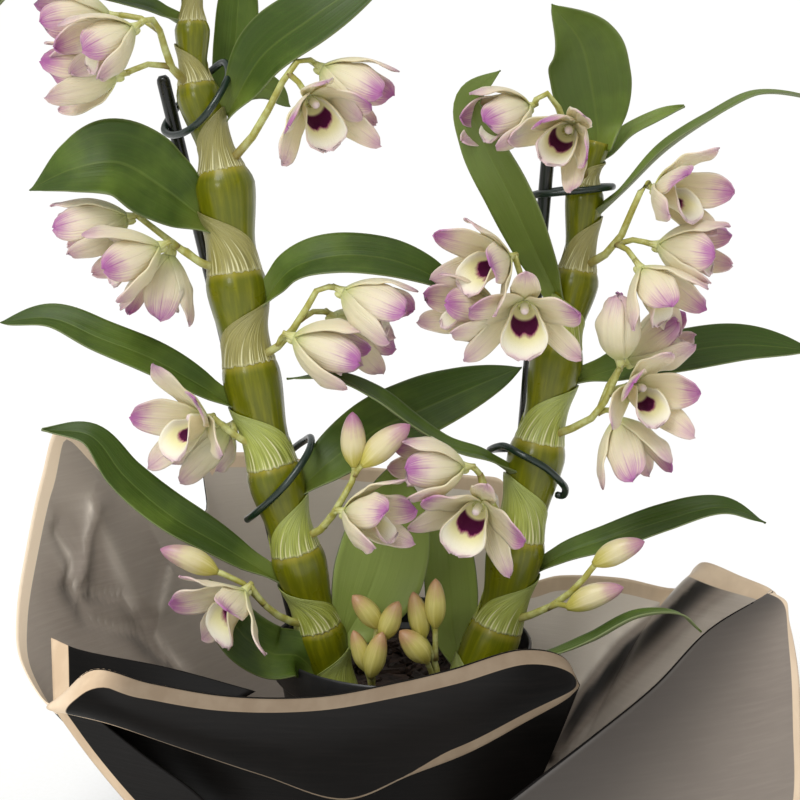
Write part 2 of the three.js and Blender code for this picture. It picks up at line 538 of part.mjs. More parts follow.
function bloomSolids(bloom, extra) {
  const base = place(bloom.at);
  const axes = axesOf(bloom);
  const back = base.clone().addScaledVector(axes.axis, -RECEPTACLE.back);
  const front = base.clone().addScaledVector(axes.axis, RECEPTACLE.front);
  const receptacle = loft([
    ringAround(back, axes, RECEPTACLE.backRadius + extra, 6),
    ringAround(front, axes, RECEPTACLE.frontRadius + extra, 6),
  ]);
  return [receptacle, ...TEPALS.map((tepal) => tepalSolid(base, axes, tepal, bloom.spread, extra))];
}

function budSolid(bud, extra) {
  const base = place(bud.at);
  const axes = axesOf(bud);
  const rings = [[0, 0.3], [0.25, 0.9], [0.6, 0.95], [1, 0.1]];
  return loft(rings.map(([t, share]) => {
    const centre = base.clone().addScaledVector(axes.axis, t * bud.length);
    return ringAround(centre, axes, share * bud.radius + extra, 5);
  }));
}

// Where a flower's pedicel ends: a little way inside the receptacle or the bud.
function seatOf(flower) {
  const depth = flower.length ? 1.5 : -RECEPTACLE.back + 1.5;
  return place(flower.at).addScaledVector(axesOf(flower).axis, depth);
}

// A spray: its stem runs on into its first flower, and the others hang from the stem on arched pedicels.
function spraySolid({ root, stem, blooms = [], buds = [] }, extra = 0) {
  const points = [root, ...stem].map(place);
  const flowers = [...blooms, ...buds];
  const first = flowers.find((flower) => flower.from === undefined);
  const parts = [rod([...points, seatOf(first)], STEM_RADIUS + extra, 5)];
  for (const flower of flowers.filter((other) => other !== first)) {
    const start = points[(flower.from ?? stem.length - 1) + 1];
    const end = seatOf(flower);
    const bend = start.clone().lerp(end, 0.5);
    bend.z += start.distanceTo(end) * PEDICEL_ARCH;
    parts.push(rod([start, bend, end], PEDICEL_RADIUS + extra, 4));
  }
  for (const bloom of blooms) parts.push(...bloomSolids(bloom, extra));
  for (const bud of buds) parts.push(budSolid(bud, extra));
  return join(parts);
}

// ---------------------------------------------------------------- stakes and clips

function stakeSolid({ foot, top }, extra = 0) {
  const ends = [foot, top].map(place);
  const along = ends[1].clone().sub(ends[0]).setLength(extra);
  return rod([ends[0].sub(along), ends[1].add(along)], STAKE_RADIUS + extra, 10);
}

function clipSolid({ route, closed }, extra = 0) {
  const points = route.map(place);
  const radius = WIRE_RADIUS + extra;
  if (!closed) return rod(points, radius, 6);
  const half = Math.ceil(points.length / 2);
  return rod(points.slice(0, half + 1), radius, 6).add(rod([...points.slice(half), points[0]], radius, 6));
}

// ---------------------------------------------------------------- pot and bark

const POT_FOOT = PAPER + 0.3;

// The pot's wall flares from its foot to a shoulder, where a straight rim band stands out.
function potSolid(extra = 0) {
  const under = POT.height - POT.rimDepth;
  const rim = POT.rim + extra;
  const brim = POT.height + extra;
  const inner = POT.rim - POT.wall - extra;
  const profile = [
    [0, POT_FOOT], [POT.foot, POT_FOOT], [POT.shoulder + extra, under], [rim - POT.wall, under],
    [rim, under + POT.wall], [rim, brim - POT.round], [rim - POT.round, brim], [inner, brim - POT.round],
    [inner, under + POT.wall], [POT.shoulder - POT.wall - extra, under],
    [POT.foot - POT.wall, POT_FOOT + POT.floor], [0, POT_FOOT + POT.floor],
  ];
  const lathe = new THREE.LatheGeometry(profile.map(([r, z]) => new THREE.Vector2(r, z)), POT_SIDES);
  return solidOf(lathe.rotateX(Math.PI / 2));
}

// Bark that fills the pot, with loose-looking chips bedded in its top. The chips lie in a sunflower spiral.
function barkSolid() {
  const floor = POT_FOOT + POT.floor;
  const inside = (z) => {
    const share = (z - floor) / (POT.height - POT.rimDepth - floor);
    return THREE.MathUtils.lerp(POT.foot, POT.shoulder, share) - POT.wall - BARK.clearance;
  };
  const foot = floor + GAP;
  const profile = [[0, foot], [inside(foot), foot], [inside(BARK.top), BARK.top], [0, BARK.top]];
  const fill = new THREE.LatheGeometry(profile.map(([r, z]) => new THREE.Vector2(r, z)), POT_SIDES);
  const chips = Array.from({ length: CHIP.count }, (_, i) => {
    const length = CHIP.length + CHIP.vary * Math.sin(i * 2.3);
    const out = Math.min(CHIP.reach * Math.sqrt((i + 0.5) / CHIP.count), inside(BARK.top) - 0.6 * length);
    const angle = i * GOLDEN_ANGLE;
    const chip = new THREE.BoxGeometry(length, CHIP.width, CHIP.height);
    chip.rotateX(CHIP.tilt * Math.sin(i * 1.3));
    chip.rotateY(CHIP.tilt * Math.cos(i * 2.1));
    chip.rotateZ(i * 1.9);
    chip.translate(out * Math.cos(angle), out * Math.sin(angle), BARK.top);
    return solidOf(chip);
  });
  return join([solidOf(fill.rotateX(Math.PI / 2)), ...chips]);
}

// ---------------------------------------------------------------- wrap

const LAP = 3; // how far the lapped end of the sheet stays outside its start

// Middle of the paper wall in one column, at a share of the way from the floor to its top edge. The wall
// bellies out, most of all on the left.
function wallPoint({ top, heading }, share) {
  const angle = heading * DEG;
  const outward = new THREE.Vector3(-Math.sin(angle), -Math.cos(angle), 0);
  const lap = LAP * THREE.MathUtils.smoothstep(heading, 300, 322);
  const foot = outward.clone().multiplyScalar(WRAP_FOOT + lap).setZ(PAPER / 2);
  const left = Math.exp(-(((heading - 85) / 45) ** 2));
  const bulge = (4 + 8 * left + lap) * Math.sin(Math.PI * share);
  return foot.lerp(place(top), share).addScaledVector(outward, bulge);
}

// A turned-down piece of the sheet between two edges of as many points, bowed outward between them.
function turnedPiece(inner, outer, bow, thickness) {
  const rows = [0, 0.33, 0.67, 1];
  const grid = rows.map((t) => inner.map((point, j) => {
    const middle = point.clone().lerp(outer[j], t);
    const away = new THREE.Vector3(middle.x, middle.y, 0).normalize();
    return middle.addScaledVector(away, bow * Math.sin(Math.PI * t));
  }));
  return skin(grid, () => thickness / 2);
}

function wrapSolid(extra = 0) {
  const thickness = PAPER + 2 * extra;
  const grid = WALL_ROWS.map((share) => WALL.map((column) => wallPoint(column, share)));
  const wall = skin(grid, () => thickness / 2);
  const round = WALL.slice(BASE_COLUMNS[0], BASE_COLUMNS[1]).map((column) => wallPoint(column, 0));
  const outline = new THREE.Shape(round.map(({ x, y }) => new THREE.Vector2(x, y)));
  const base = solidOf(new THREE.ExtrudeGeometry(outline, { depth: PAPER, bevelEnabled: false }));
  const edgeOf = ([first, last]) => WALL.slice(first, last + 1).map(({ top }) => place(top));
  const cuff = turnedPiece(edgeOf(CUFF_COLUMNS), CUFF_EDGE.map(place), 7, thickness);
  const panel = turnedPiece(edgeOf(PANEL_COLUMNS), PANEL_EDGE.map(place), 5, thickness);
  const corner = turnedPiece(CORNER_INNER.map(place), CORNER_OUTER.map(place), 0, thickness);
  const flap = turnedPiece(FLAP_FOOT.map(place), FLAP_TOP.map(place), 0, thickness);
  return join([wall, base, cuff, panel, corner, flap]);
}

// ---------------------------------------------------------------- assembly

const orchid = new THREE.Group();
orchid.name = 'dendrobium_orchid';
const standing = [];

// Adds a piece to the plant as its own mesh, cut back from the pieces already there. make builds it at its
// true size, or thicker by the amount it is given, which is the room that later pieces keep out of.
function add(name, look, make) {
  const clear = standing.reduce(keepClear, make(0));
  standing.push({ own: clear, room: make(GAP) });
  const { vertProperties, triVerts } = clear.getMesh();
  const geometry = new THREE.BufferGeometry();
  geometry.setAttribute('position', new THREE.Float32BufferAttribute(vertProperties, 3));
  geometry.setIndex(Array.from(triVerts));
  geometry.computeVertexNormals();
  const mesh = new THREE.Mesh(geometry, new THREE.MeshStandardMaterial(COLOURS[look]));
  mesh.name = name;
  orchid.add(mesh);
}

add('pot', 'pot', potSolid);
add('cane_left', 'cane', (extra) => caneSolid(CANE_LEFT, extra));
add('cane_right', 'cane', (extra) => caneSolid(CANE_RIGHT, extra));
for (const stake of STAKES) add(stake.name, 'stake', (extra) => stakeSolid(stake, extra));
for (const clip of CLIPS) add(clip.name, 'wire', (extra) => clipSolid(clip, extra));
add('wrap', 'paper', wrapSolid);
LEAVES_LEFT.forEach((leaf, i) => add(`leaf_left_${i + 1}`, 'leaf', (extra) => leafSolid(leaf, extra)));
LEAVES_RIGHT.forEach((leaf, i) => add(`leaf_right_${i + 1}`, 'leaf', (extra) => leafSolid(leaf, extra)));
for (const spray of SPRAYS) add(`spray_${spray.name}`, 'bloom', (extra) => spraySolid(spray, extra));
add('bark', 'bark', barkSolid);

export default orchid;
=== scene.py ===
"""Dresses a potted dendrobium orchid: two canes in papery sheaths, their leaves and flower sprays, the stakes
and clips, the pot with its bark, and the two-tone paper folded round it. Tables are in millimetres."""

import math
import random

import bpy
import numpy as np
from bpy.props import FloatProperty, FloatVectorProperty, IntProperty, PointerProperty
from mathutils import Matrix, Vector, noise


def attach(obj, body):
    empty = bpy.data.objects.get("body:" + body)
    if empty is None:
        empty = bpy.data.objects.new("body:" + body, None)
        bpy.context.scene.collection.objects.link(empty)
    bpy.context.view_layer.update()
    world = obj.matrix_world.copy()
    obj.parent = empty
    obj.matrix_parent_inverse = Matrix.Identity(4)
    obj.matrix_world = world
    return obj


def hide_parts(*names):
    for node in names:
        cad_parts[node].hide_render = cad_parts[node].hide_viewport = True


bl_info = {
    "name": "Dendrobium Orchid",
    "version": (1, 0, 0),
    "blender": (4, 5, 0),
    "location": "View3D > Sidebar > Orchid",
    "description": "Models a dendrobium orchid in a pot wrapped in paper, piece by piece",
    "category": "Add Mesh",
}

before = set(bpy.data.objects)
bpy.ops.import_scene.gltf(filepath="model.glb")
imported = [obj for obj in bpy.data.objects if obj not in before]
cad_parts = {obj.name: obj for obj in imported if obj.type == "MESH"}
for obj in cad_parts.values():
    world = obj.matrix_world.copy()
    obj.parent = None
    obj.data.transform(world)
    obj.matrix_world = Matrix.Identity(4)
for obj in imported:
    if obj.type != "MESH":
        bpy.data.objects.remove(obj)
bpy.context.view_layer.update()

MM = 0.001
TURN = 2 * math.pi
BODY = "root"

# Points are noted as [across, up, back], the way they are sighted from in front of the plant.
DISTANCE = 950
LIFT = math.radians(14)
AIM_HEIGHT = 224
VIEW_WIDTH = 360
CAMERA_SHIFT = 0.9
SENSOR_WIDTH = 36
# Each light: its kind, its place in metres, and how broad it is.
LIGHTS = {
    "key": ("SUN", (-0.6, -0.9, 2.1), "angle", math.radians(35)),
    "gloss": ("AREA", (-0.5, -1.2, 0.9), "size", 0.35),
}

# One entry an internode in radii and leaf_side, from the foot up. leaf_side is the way its leaf leaves, in
# degrees, with 0 to the right, 90 to the back and -90 to the front.
CANE_LEFT = {
    "nodes": [
        (-27, -155, -26), (-29.5, -131, -26), (-38, -101, -27), (-48, -67, -30), (-58.5, -29, -26),
        (-69, 17, -20), (-75.5, 58, -14), (-81.5, 104, -8), (-93, 143, -2), (-94.5, 171, 2), (-95, 198, 5),
    ],
    "radii": [11.5, 11.5, 12, 12.3, 12.8, 13.2, 13.4, 9.5, 7.5, 5.5],
    "leaf_side": [180, -10, -175, 15, 180, -11, -176, -15, 160, 5],
    "dry_from": 5,
}
CANE_RIGHT = {
    "nodes": [
        (21, -146, -24), (43, -101, -20), (52.5, -61, -18), (62, -18, -14), (71, 25, -8), (79, 59, -3),
        (83, 97, 2), (88, 116, 5),
    ],
    "radii": [12.5, 13, 12.8, 11.8, 10.4, 8.4, 5.5],
    "leaf_side": [-165, 15, -160, 3, -150, 5, 30],
    "dry_from": 5,
}
# How a cane swells along one internode: the place along it and its share of the full radius.
SWELL = (
    (0, 0.88), (0.06, 0.84), (0.2, 0.79), (0.35, 0.8), (0.55, 0.9), (0.75, 0.99), (0.86, 1), (0.95, 0.95),
    (1, 0.88),
)
RING_PLACES = (
    0, 0.012, 0.03, 0.06, 0.12, 0.2, 0.28, 0.36, 0.44, 0.52, 0.6, 0.68, 0.76, 0.83, 0.89, 0.94, 0.97, 0.988,
)
CANE_SIDES = 44
RING_RIDGE = 0.35
# The sheath's top as a share of the internode, the share of its fibres' fan that closes on the way there, and
# how far the fibres stand out at the ring and its rim stands off at the top.
SHEATH_TOP, SHEATH_CLOSING, FIBRE_RISE, RIM_RISE = 0.62, 0.93, 0.12, 0.6
SHEATH_COLUMNS, SHEATH_ROWS = 130, 26

# Half width, the way the upper side looks, and the route from the sheath to the tip.
LEAVES = {
    "leaf_left_1": (12, (-0.2, -0.8, 0.6), [
        (-36, -126, -30), (-47, -115, -38), (-58, -114, -43), (-70, -107, -45), (-80, -94, -41),
        (-87, -81, -35)]),
    "leaf_left_2": (20.5, (0.15, -1, 0.1), [
        (-27, -110, -28), (-17, -92, -24), (-9.5, -72, -18), (-5, -49.5, -12), (-4.5, -30, -4)]),
    "leaf_left_3": (10, (0.3, -0.6, 0.75), [
        (-54, -82, -30), (-80, -66, -34), (-104, -52, -36), (-125, -34, -34), (-140, -16, -30),
        (-162, -13.5, -26)]),
    "leaf_left_4": (15, (-0.1, -0.75, 0.65), [
        (-49, -43, -24), (-33, -28, -24), (-12, -13.5, -14), (8, -4.5, -4), (30.6, 5.4, 12), (54, 15, 22)]),
    "leaf_left_5": (9.5, (0.2, -0.6, 0.78), [
        (-72, -5, -22), (-91, 7, -28), (-113, 19, -30), (-136, 28, -28), (-158, 37, -22), (-181, 35, -18)]),
    "leaf_left_6": (11, (0, -0.65, 0.75), [
        (-64, 42, -18), (-50, 59, -24), (-30, 65, -28), (-8, 64, -28), (10, 58, -26), (27, 48, -22)]),
    "leaf_left_7": (18.5, (-0.1, -0.8, 0.6), [
        (-86, 79, -12), (-108, 96, -24), (-128, 107, -30), (-149, 104, -30), (-168, 94.5, -24)]),
    "leaf_left_8": (14.5, (-0.25, -0.85, 0.5), [
        (-79, 128, -6), (-63, 155, -14), (-41, 172, -20), (-19, 187, -18), (-1, 198, -12)]),
    "leaf_left_9": (9.5, (0, -1, 0.1), [(-86, 133, 10), (-77, 150, 20), (-74, 175, 22), (-73, 205, 22)]),
    "leaf_left_10": (7, (0.1, -0.8, 0.6), [(-84, 133, -2), (-69, 141, 6), (-58, 139, 12), (-50, 132, 16)]),
    "leaf_left_11": (9, (0, -0.35, 1), [
        (-97, 168, 4), (-113, 177, 2), (-134, 182, 0), (-154, 189, -2), (-174, 200, -4)]),
    "leaf_left_12": (9, (0.1, -0.4, 0.9), [
        (-94, 188, 4), (-118, 205, -10), (-145, 207, -16), (-167, 193.5, -16), (-184.5, 175, -12)]),
    "leaf_right_1": (12, (0.1, -1, 0.1), [
        (29, -124, -14), (24, -108, -5), (22, -85.5, 0), (20, -63, 2), (17, -40, 4)]),
    "leaf_right_2": (7, (0, 0.1, 1), [
        (31, -130, -24), (47, -115, -36), (63, -115, -46), (85, -108, -50), (107, -97, -50), (125, -96, -48),
        (135, -104, -46)]),
    "leaf_right_3": (8, (-0.1, -0.5, 0.85), [
        (56, -80, -16), (71, -70, -18), (93.6, -62, -20), (118, -54, -22), (145, -48, -22), (164, -55, -20)]),
    "leaf_right_4": (8, (0.35, -0.15, 0.93), [
        (54, -36, -18), (38.7, -25.7, -28), (21.6, -20.7, -34), (4.5, -10.8, -38), (-12, 2, -38),
        (-30, 10.8, -36), (-52, 10, -32)]),
    "leaf_right_5": (11, (-0.1, -0.7, 0.7), [
        (76, 8, -10), (98, 15, -4), (125, 21.6, 2), (152, 25, 6), (184.5, 22.5, 8)]),
    "leaf_right_6": (11, (-0.5, -0.8, 0.2), [
        (72, 42, -8), (58.5, 70, -18), (47.7, 93.6, -22), (36, 117, -24), (30.6, 135, -24),
        (44, 148.5, -28)]),
    "leaf_right_7": (8, (-0.45, -0.05, 0.89), [
        (84, 80, 0), (100, 95, -8), (118, 112.5, -12), (138.6, 127, -14), (159, 138, -12), (179, 137, -8),
        (192.6, 131, -4)]),
    "leaf_right_8": (17.5, (0, -1, 0.1), [
        (88, 112, 5), (88, 121, 6), (85.5, 140, 4), (80.5, 160.5, 0), (67.5, 178, -12)]),
    "leaf_right_9": (4, (-0.3, -0.6, 0.7), [
        (88, 106, 5), (102.6, 121.5, 12), (114, 128, 14), (127, 132, 16)]),
}

# Share of a blade's full half width on its way from the sheath to the tip: of most, and of the pointed ones.
LEAF_OUTLINE = (
    (0, 0.28), (0.08, 0.42), (0.2, 0.74), (0.36, 0.97), (0.5, 1), (0.65, 0.93), (0.78, 0.74), (0.88, 0.5),
    (0.95, 0.25), (1, 0.01),
)
POINTED_OUTLINE = (
    (0, 0.28), (0.08, 0.42), (0.2, 0.74), (0.36, 0.97), (0.48, 1), (0.6, 0.97), (0.7, 0.8), (0.8, 0.55),
    (0.9, 0.28), (1, 0.01),
)
POINTED = ("leaf_left_7", "leaf_right_8")
LEAF_COLUMNS, LEAF_ROWS = 16, 60
MIDRIB_DEPTH, MIDRIB_WIDTH = 0.45, 0.9
# How pale a leaf is, from 0 to 1: its own paler colour and painted light on leaves in shade. The others are
# 0.
PALE_AND_PAINTED_LIGHT = {
    "leaf_left_2": 0.75, "leaf_right_1": 1.0, "leaf_right_6": 0.3, "leaf_right_9": 0.4,
    "leaf_left_10": 0.3, "leaf_right_7": 0.2, "leaf_right_8": 0.15,
}

# Each spray: where its stalk leaves the cane and its way out, its blooms as (place, aim, spread, joint, roll)
# and its buds as (place, aim, length, radius, joint). aim is [right, back, up], spread runs from 0 for a shut
# bloom to 1, joint is the stalk point that a pedicel leaves, or None for the stalk's end, and roll turns a
# bloom round its own axis, in degrees, with its lip going left.
SPRAYS = {
    "left_top": ([(-95, 141, -4), (-104, 150, -14), (-109, 166, -24), (-114, 172, -31)], [
        ((-122, 167, -36), (-0.75, -0.5, -0.42), 0.14, None, 0),
        ((-132, 172.5, -20), (-1, -0.1, -0.12), 0.2, 1, 20),
        ((-129, 146.5, -22), (-1, -0.1, -0.12), 0.2, 0, -15)], []),
    "left_upper": ([(-80, 104, -8), (-67, 119, -17), (-60, 131, -22), (-51.5, 147, -26), (-45, 154, -27)], [
        ((-35.5, 149, -22), (0.8, -0.2, -0.5), 0.16, None, 10),
        ((-41.5, 135, -31), (0.36, -0.8, -0.45), 0.42, 2, -12)], []),
    "left_middle": ([(-78, 57, -14), (-91, 62, -22), (-101, 69, -25)], [
        ((-124, 82, -25), (-1, -0.1, -0.25), 0.06, None, 0),
        ((-110, 69, -36), (-0.85, -0.35, -0.3), 0.24, 1, 15),
        ((-105, 65, -20), (-0.2, -0.15, -0.95), 0.22, 0, 0)], []),
    "left_inner": ([(-68, 17, -20), (-56, 24, -28), (-46, 36, -32), (-37, 50.5, -33)], [
        ((-26, 48.5, -34), (0.85, -0.2, -0.42), 0.16, None, 10),
        ((-48, 28, -36), (0.93, -0.2, -0.33), 0.08, 0, -10),
        ((-31, 37, -18), (0.5, 0.45, -0.6), 0.1, 1, 0)], []),
    "left_lower": ([(-60, -24, -26), (-75, -16, -32)], [
        ((-89, -8.5, -34), (-0.66, -0.74, -0.08), 0.66, None, -18),
        ((-79, -13, -21), (-0.6, 0.35, -0.6), 0.15, None, 0)], []),
    "left_foot": ([(-40, -101, -27), (-52, -99, -38), (-62, -92, -47)], [
        ((-71.5, -86.5, -53), (-0.6, -0.55, -0.5), 0.68, None, -10)], [
        ((-83, -77.5, -50), (-0.9, -0.1, 0.42), 27, 5.4, 1)]),
    "centre": ([(-48, -64, -28), (-35, -57, -38), (-28.5, -47, -44), (-21.5, -34, -46)], [
        ((-25, -50.5, -48), (0.75, -0.5, -0.02), 0.22, 0, 12)], [
        ((-21.6, -30, -46), (-0.02, -0.1, 1), 25, 5.6, None),
        ((-18, -29.5, -48), (0.74, -0.1, 0.68), 28, 6, None)]),
    "young_left": ([(-14, -156, -34), (-13.5, -130.5, -36), (-13.5, -119, -40)], [], [
        ((-10, -102.6, -40), (-0.6, -0.1, 0.8), 20, 5, None),
        ((-8.5, -108, -42), (0.35, -0.1, 0.95), 20, 4.9, None),
        ((-16, -122, -42), (-0.3, 0, 1), 20, 4.2, 0),
        ((-14.4, -125, -46), (0.25, -0.1, 1), 23, 5, 0)]),
    "young_right": ([(14, -156, -32), (15, -130.5, -34), (15, -117, -38)], [], [
        ((9.5, -108, -38), (-0.2, 0, 1), 23, 4.8, None),
        ((15, -102.6, -40), (0, 0, 1), 23, 4.8, None),
        ((11.7, -118, -44), (-0.6, -0.1, 0.75), 20, 5.6, 0)]),
    "right_top": ([(83, 98, 1), (78, 112.5, -8), (71.5, 127, -13), (68, 137, -16), (62, 137.5, -17)], [
        ((56, 131.5, -18), (-0.7, -0.55, -0.22), 0.06, None, 0),
        ((75, 122, -22), (-0.28, -0.93, -0.2), 0.24, 0, 40)], []),
    "right_upper": ([(80, 59, -3), (90, 64.5, -14), (96.5, 70, -18), (102, 82, -20), (110, 98, -23)], [
        ((115, 95, -24), (0.62, -0.76, -0.08), 0.34, None, 20),
        ((116, 69.5, -26), (0.85, -0.4, -0.12), 0.14, 1, -10),
        ((108, 58.5, -32), (0.45, -0.5, -0.62), 0.32, 1, 15)], []),
    "right_middle": ([(64, -17, -14), (76, -13, -24), (88, -6, -31), (92.5, 2, -35)], [
        ((98, 19, -37), (-0.04, -0.1, 1), -0.3, None, 0),
        ((104, 5, -34), (0.36, -0.92, -0.06), 0.4, None, 12),
        ((97, -9, -31), (0.35, -0.35, -0.8), 0.22, 1, 0),
        ((103, 18, -14), (0.65, -0.15, 0.45), 0.06, 1, 0)], []),
    "right_inner": ([(70, 25, -8), (60, 36, -24), (56, 48, -30)], [
        ((47, 64, -35), (-0.75, -0.62, -0.12), 0.48, None, 12),
        ((41, 40, -30), (-0.85, -0.5, 0.12), 0.1, 0, 0),
        ((55, 43, -38), (-0.03, -0.87, -0.45), 0.72, 0, 0)], []),
    "right_lower": ([(53, -61, -18), (40.5, -47, -34), (35, -33, -38)], [
        ((27, -30, -42), (-0.92, -0.3, 0.06), 0.08, None, 15),
        ((35, -47, -42), (-0.36, -0.85, -0.42), 0.68, None, 26)], []),
    "right_foot": ([(44, -101, -20), (65.7, -93.6, -34), (78, -84.6, -40)], [], [
        ((86, -74, -42), (0.85, -0.15, 0.46), 25, 5.4, None),
        ((74, -93.5, -42), (0.9, -0.15, 0.4), 27, 5.5, 0)]),
}

# Tepals: length, half width, and in degrees the angles to the bloom's axis at base and tip when shut and
# open. Each face has its name, where along it its magenta starts, and its shares of magenta and of green.
SEPAL_OUTLINE = (
    (0, 0.42), (0.12, 0.66), (0.3, 0.93), (0.46, 1), (0.64, 0.97), (0.8, 0.82), (0.9, 0.6), (0.97, 0.32),
    (1, 0.04),
)
PETAL_OUTLINE = (
    (0, 0.26), (0.12, 0.52), (0.3, 0.86), (0.48, 1), (0.66, 0.99), (0.81, 0.86), (0.92, 0.62), (0.98, 0.32),
    (1, 0.05),
)
SEPAL = {
    "length": 33, "half": 6.2, "shut": (58, -22), "open": (60, 74), "start": 2, "outline": SEPAL_OUTLINE,
    "faces": (("sepal_inner", 0.66, 0.66, 0.9), ("sepal_outer", 0.65, 0.66, 1.0)),
}
SIDE_PETAL = {
    "length": 32, "half": 8.6, "shut": (50, -24), "open": (52, 68), "start": 1.4, "outline": PETAL_OUTLINE,
    "faces": (("petal_inner", 0.57, 0.9, 0.8), ("petal_outer", 0.58, 0.92, 1.0)),
}
TEPALS = ((SEPAL, 90), (SEPAL, 210), (SEPAL, 330), (SIDE_PETAL, 27), (SIDE_PETAL, 153))
PETAL_COLUMNS, PETAL_ROWS = 14, 24
# How deep the groove down a petal's middle is, and how far its edges wave across and along the bloom.
KEEL, EDGE_WAVE, EDGE_CURL = 0.35, 0.6, 0.9
# The lip: its angles at places along it when shut and open, how far it wraps round the column to each side,
# in radians, its half width, and how far from the axis it starts.
LIP_LENGTH, LIP_COLUMNS, LIP_ROWS = 25, 30, 24
LIP_SHUT = ((0, 34), (0.2, 22), (0.4, 8), (0.6, 4), (0.8, 6), (1, 14))
LIP_OPEN = ((0, 45), (0.2, 32), (0.4, 12), (0.6, 20), (0.8, 50), (1, 74))
LIP_WRAP = ((0, 2.45), (0.3, 2.45), (0.5, 2.2), (0.68, 1.8), (0.82, 1.4), (0.93, 1.1), (1, 0.7))
LIP_HALF = (
    (0, 6), (0.2, 9.5), (0.45, 13), (0.62, 15.2), (0.76, 15), (0.86, 13.2), (0.93, 10.4), (0.98, 6.6),
    (1, 2.4),
)

LIP_START = 1.7

# Rings of a bloom's solid parts and stalks, as the share of the way along and the radius.
COLUMN = ((0, 0), (0, 1.5), (0.4, 1.7), (0.75, 1.9), (0.9, 1.7), (0.97, 1.1), (1, 0))
OVARY = (
    (0, 0), (0, 1.25), (0.2, 1.35), (0.4, 1.65), (0.58, 2.15), (0.74, 2.75), (0.88, 3.2), (0.96, 3.1),
    (1, 2.4), (1, 0),
)
CHIN = ((0, 0), (0, 2.3), (0.35, 2.2), (0.6, 1.95), (0.8, 1.5), (0.93, 0.9), (0.99, 0.4), (1, 0))
STALK = (
    (0, 0), (0, 2.2), (0.1, 2), (0.3, 1.75), (0.5, 1.6), (0.7, 1.45), (0.85, 1.35), (0.95, 1.35), (1, 1.4),
    (1, 0),
)
PEDICEL = ((0, 0), (0, 1.5), (0.15, 1.35), (0.5, 1.25), (0.85, 1.3), (1, 1.4), (1, 0))

# Buds from this length on are ripe. Their shape is the share of the full radius on the way to the tip.
RIPE = 25
BUD_ROWS, BUD_SIDES = 18, 24
BUD_SHAPE = (
    (0, 0.26), (0.05, 0.4), (0.15, 0.7), (0.3, 0.94), (0.42, 1), (0.58, 0.95), (0.75, 0.77), (0.88, 0.52),
    (0.96, 0.26), (1, 0.06),
)

STAKES = {
    "stake_left": ((-30, -175, 2), (-108, 146, 6)),
    "stake_right": ((41.5, -168, 2), (67, 125, 4)),
}
STAKE_RADIUS = 3
# Rings of a stake, as the share of the way along and the share of its radius: its ends are rounded.
STAKE = ((0, 0), (0, 0.6), (0.004, 0.9), (0.008, 1), (0.992, 1), (0.996, 0.9), (1, 0.55), (1, 0))
# Each clip: whether it is a closed ring, and the way its wire runs.
CLIPS = {
    "clip_right_top": (True, [
        (58.3, 92, 2), (62, 92.5, -4.5), (72, 93.5, -8), (83, 94.5, -9), (91, 95.5, -6), (94.7, 96, 2),
        (91, 96, 10), (83, 95.5, 13), (72, 94.5, 11), (62, 93, 8)]),
    "clip_right_low": (False, [
        (52, -22, 8), (44, -22, 2), (39.6, -22.4, -10), (46, -20.7, -22), (54, -24.7, -30.5),
        (64.3, -30.4, -31.5), (71.2, -36.7, -28), (73.5, -40.2, -22), (72.3, -43, -18), (68.9, -42.5, -17)]),
    "clip_left_low": (False, [
        (-70, -54, -30), (-66, -51, -38), (-58, -44, -43.5), (-49, -34, -42), (-42, -23, -32),
        (-41, -17, -20), (-45, -19, -8), (-54, -25, 6), (-66, -29, 10)]),
    "clip_left_top": (True, [
        (-107, 122, 4), (-104.5, 119.5, -3), (-99, 120, -11), (-92, 124.5, -17), (-86, 131.5, -18),
        (-81, 139.5, -13), (-78, 147, -3), (-80, 152, 6), (-86, 148, 13), (-96, 138, 16), (-104, 128, 11)]),
}
WIRE_RADIUS, WIRE_STEPS = 1.6, 110

POT_FOOT = 1.5
POT_RIM, POT_SHOULDER, POT_BOTTOM = 60, 56.5, 43
POT_HEIGHT, RIM_DEPTH, POT_WALL, POT_FLOOR = 110, 15, 1.5, 2.5
BARK_TOP, CHIP_KINDS = 93, 4

# The paper wall: where its top edge runs, and the heading of the column of paper below, from 0 at the front
# round by the left (90) and the back (180).
WALL = [
    ((80, -128, -80), -35), ((72.5, -115.5, -84), -30), ((54, -112, -90), -22), ((22, -121, -96), -10),
    ((-1, -126.5, -98), 0), ((-37, -133, -99), 12), ((-77.5, -133, -95), 26), ((-113.5, -127, -88), 40),
    ((-138.5, -121, -80), 50), ((-154, -133.5, -72), 58), ((-160.5, -135.5, -58), 66),
    ((-172, -115, -42), 76), ((-173, -94.5, -28), 86), ((-168.5, -65, -12), 98), ((-162, -35, 2), 108),
    ((-154, -11.5, 12), 118), ((-136, -23.5, 25), 126), ((-113.5, -37, 40), 136), ((-88.5, -50.5, 56), 146),
    ((-88, -27, 68), 152), ((-68.5, -23.5, 76), 160), ((-37, -28, 84), 172), ((-1, -31.5, 86), 186),
    ((30.5, -34, 82), 196), ((45.5, -37, 78), 202), ((40.5, -70, 72), 208), ((53, -82, 66), 215),
    ((71, -79, 62), 224), ((98, -80, 54), 236), ((125, -84.5, 44), 248), ((131.5, -75.5, 34), 256),
    ((137, -73, 22), 264), ((152, -79, 8), 272), ((166.5, -85.5, -8), 282), ((162, -88.5, -20), 290),
    ((137.5, -103.5, -46), 302), ((114, -128, -68), 314), ((86.5, -150.5, -88), 326),
    ((64.5, -167.5, -98), 338), ((46.5, -181.5, -104), 350),
]
WRAP_FOOT = 56
PAPER = 1.2
# How far out the wall's end laps over its start, and between which headings it gets there.
LAP, LAP_HEADINGS = 3, (300, 322)
WALL_COLUMNS, WALL_ROWS = 8, 84
TURNED_COLUMNS, TURNED_ROWS = 10, 28
CUFF_BOW, PANEL_BOW = 7, 5
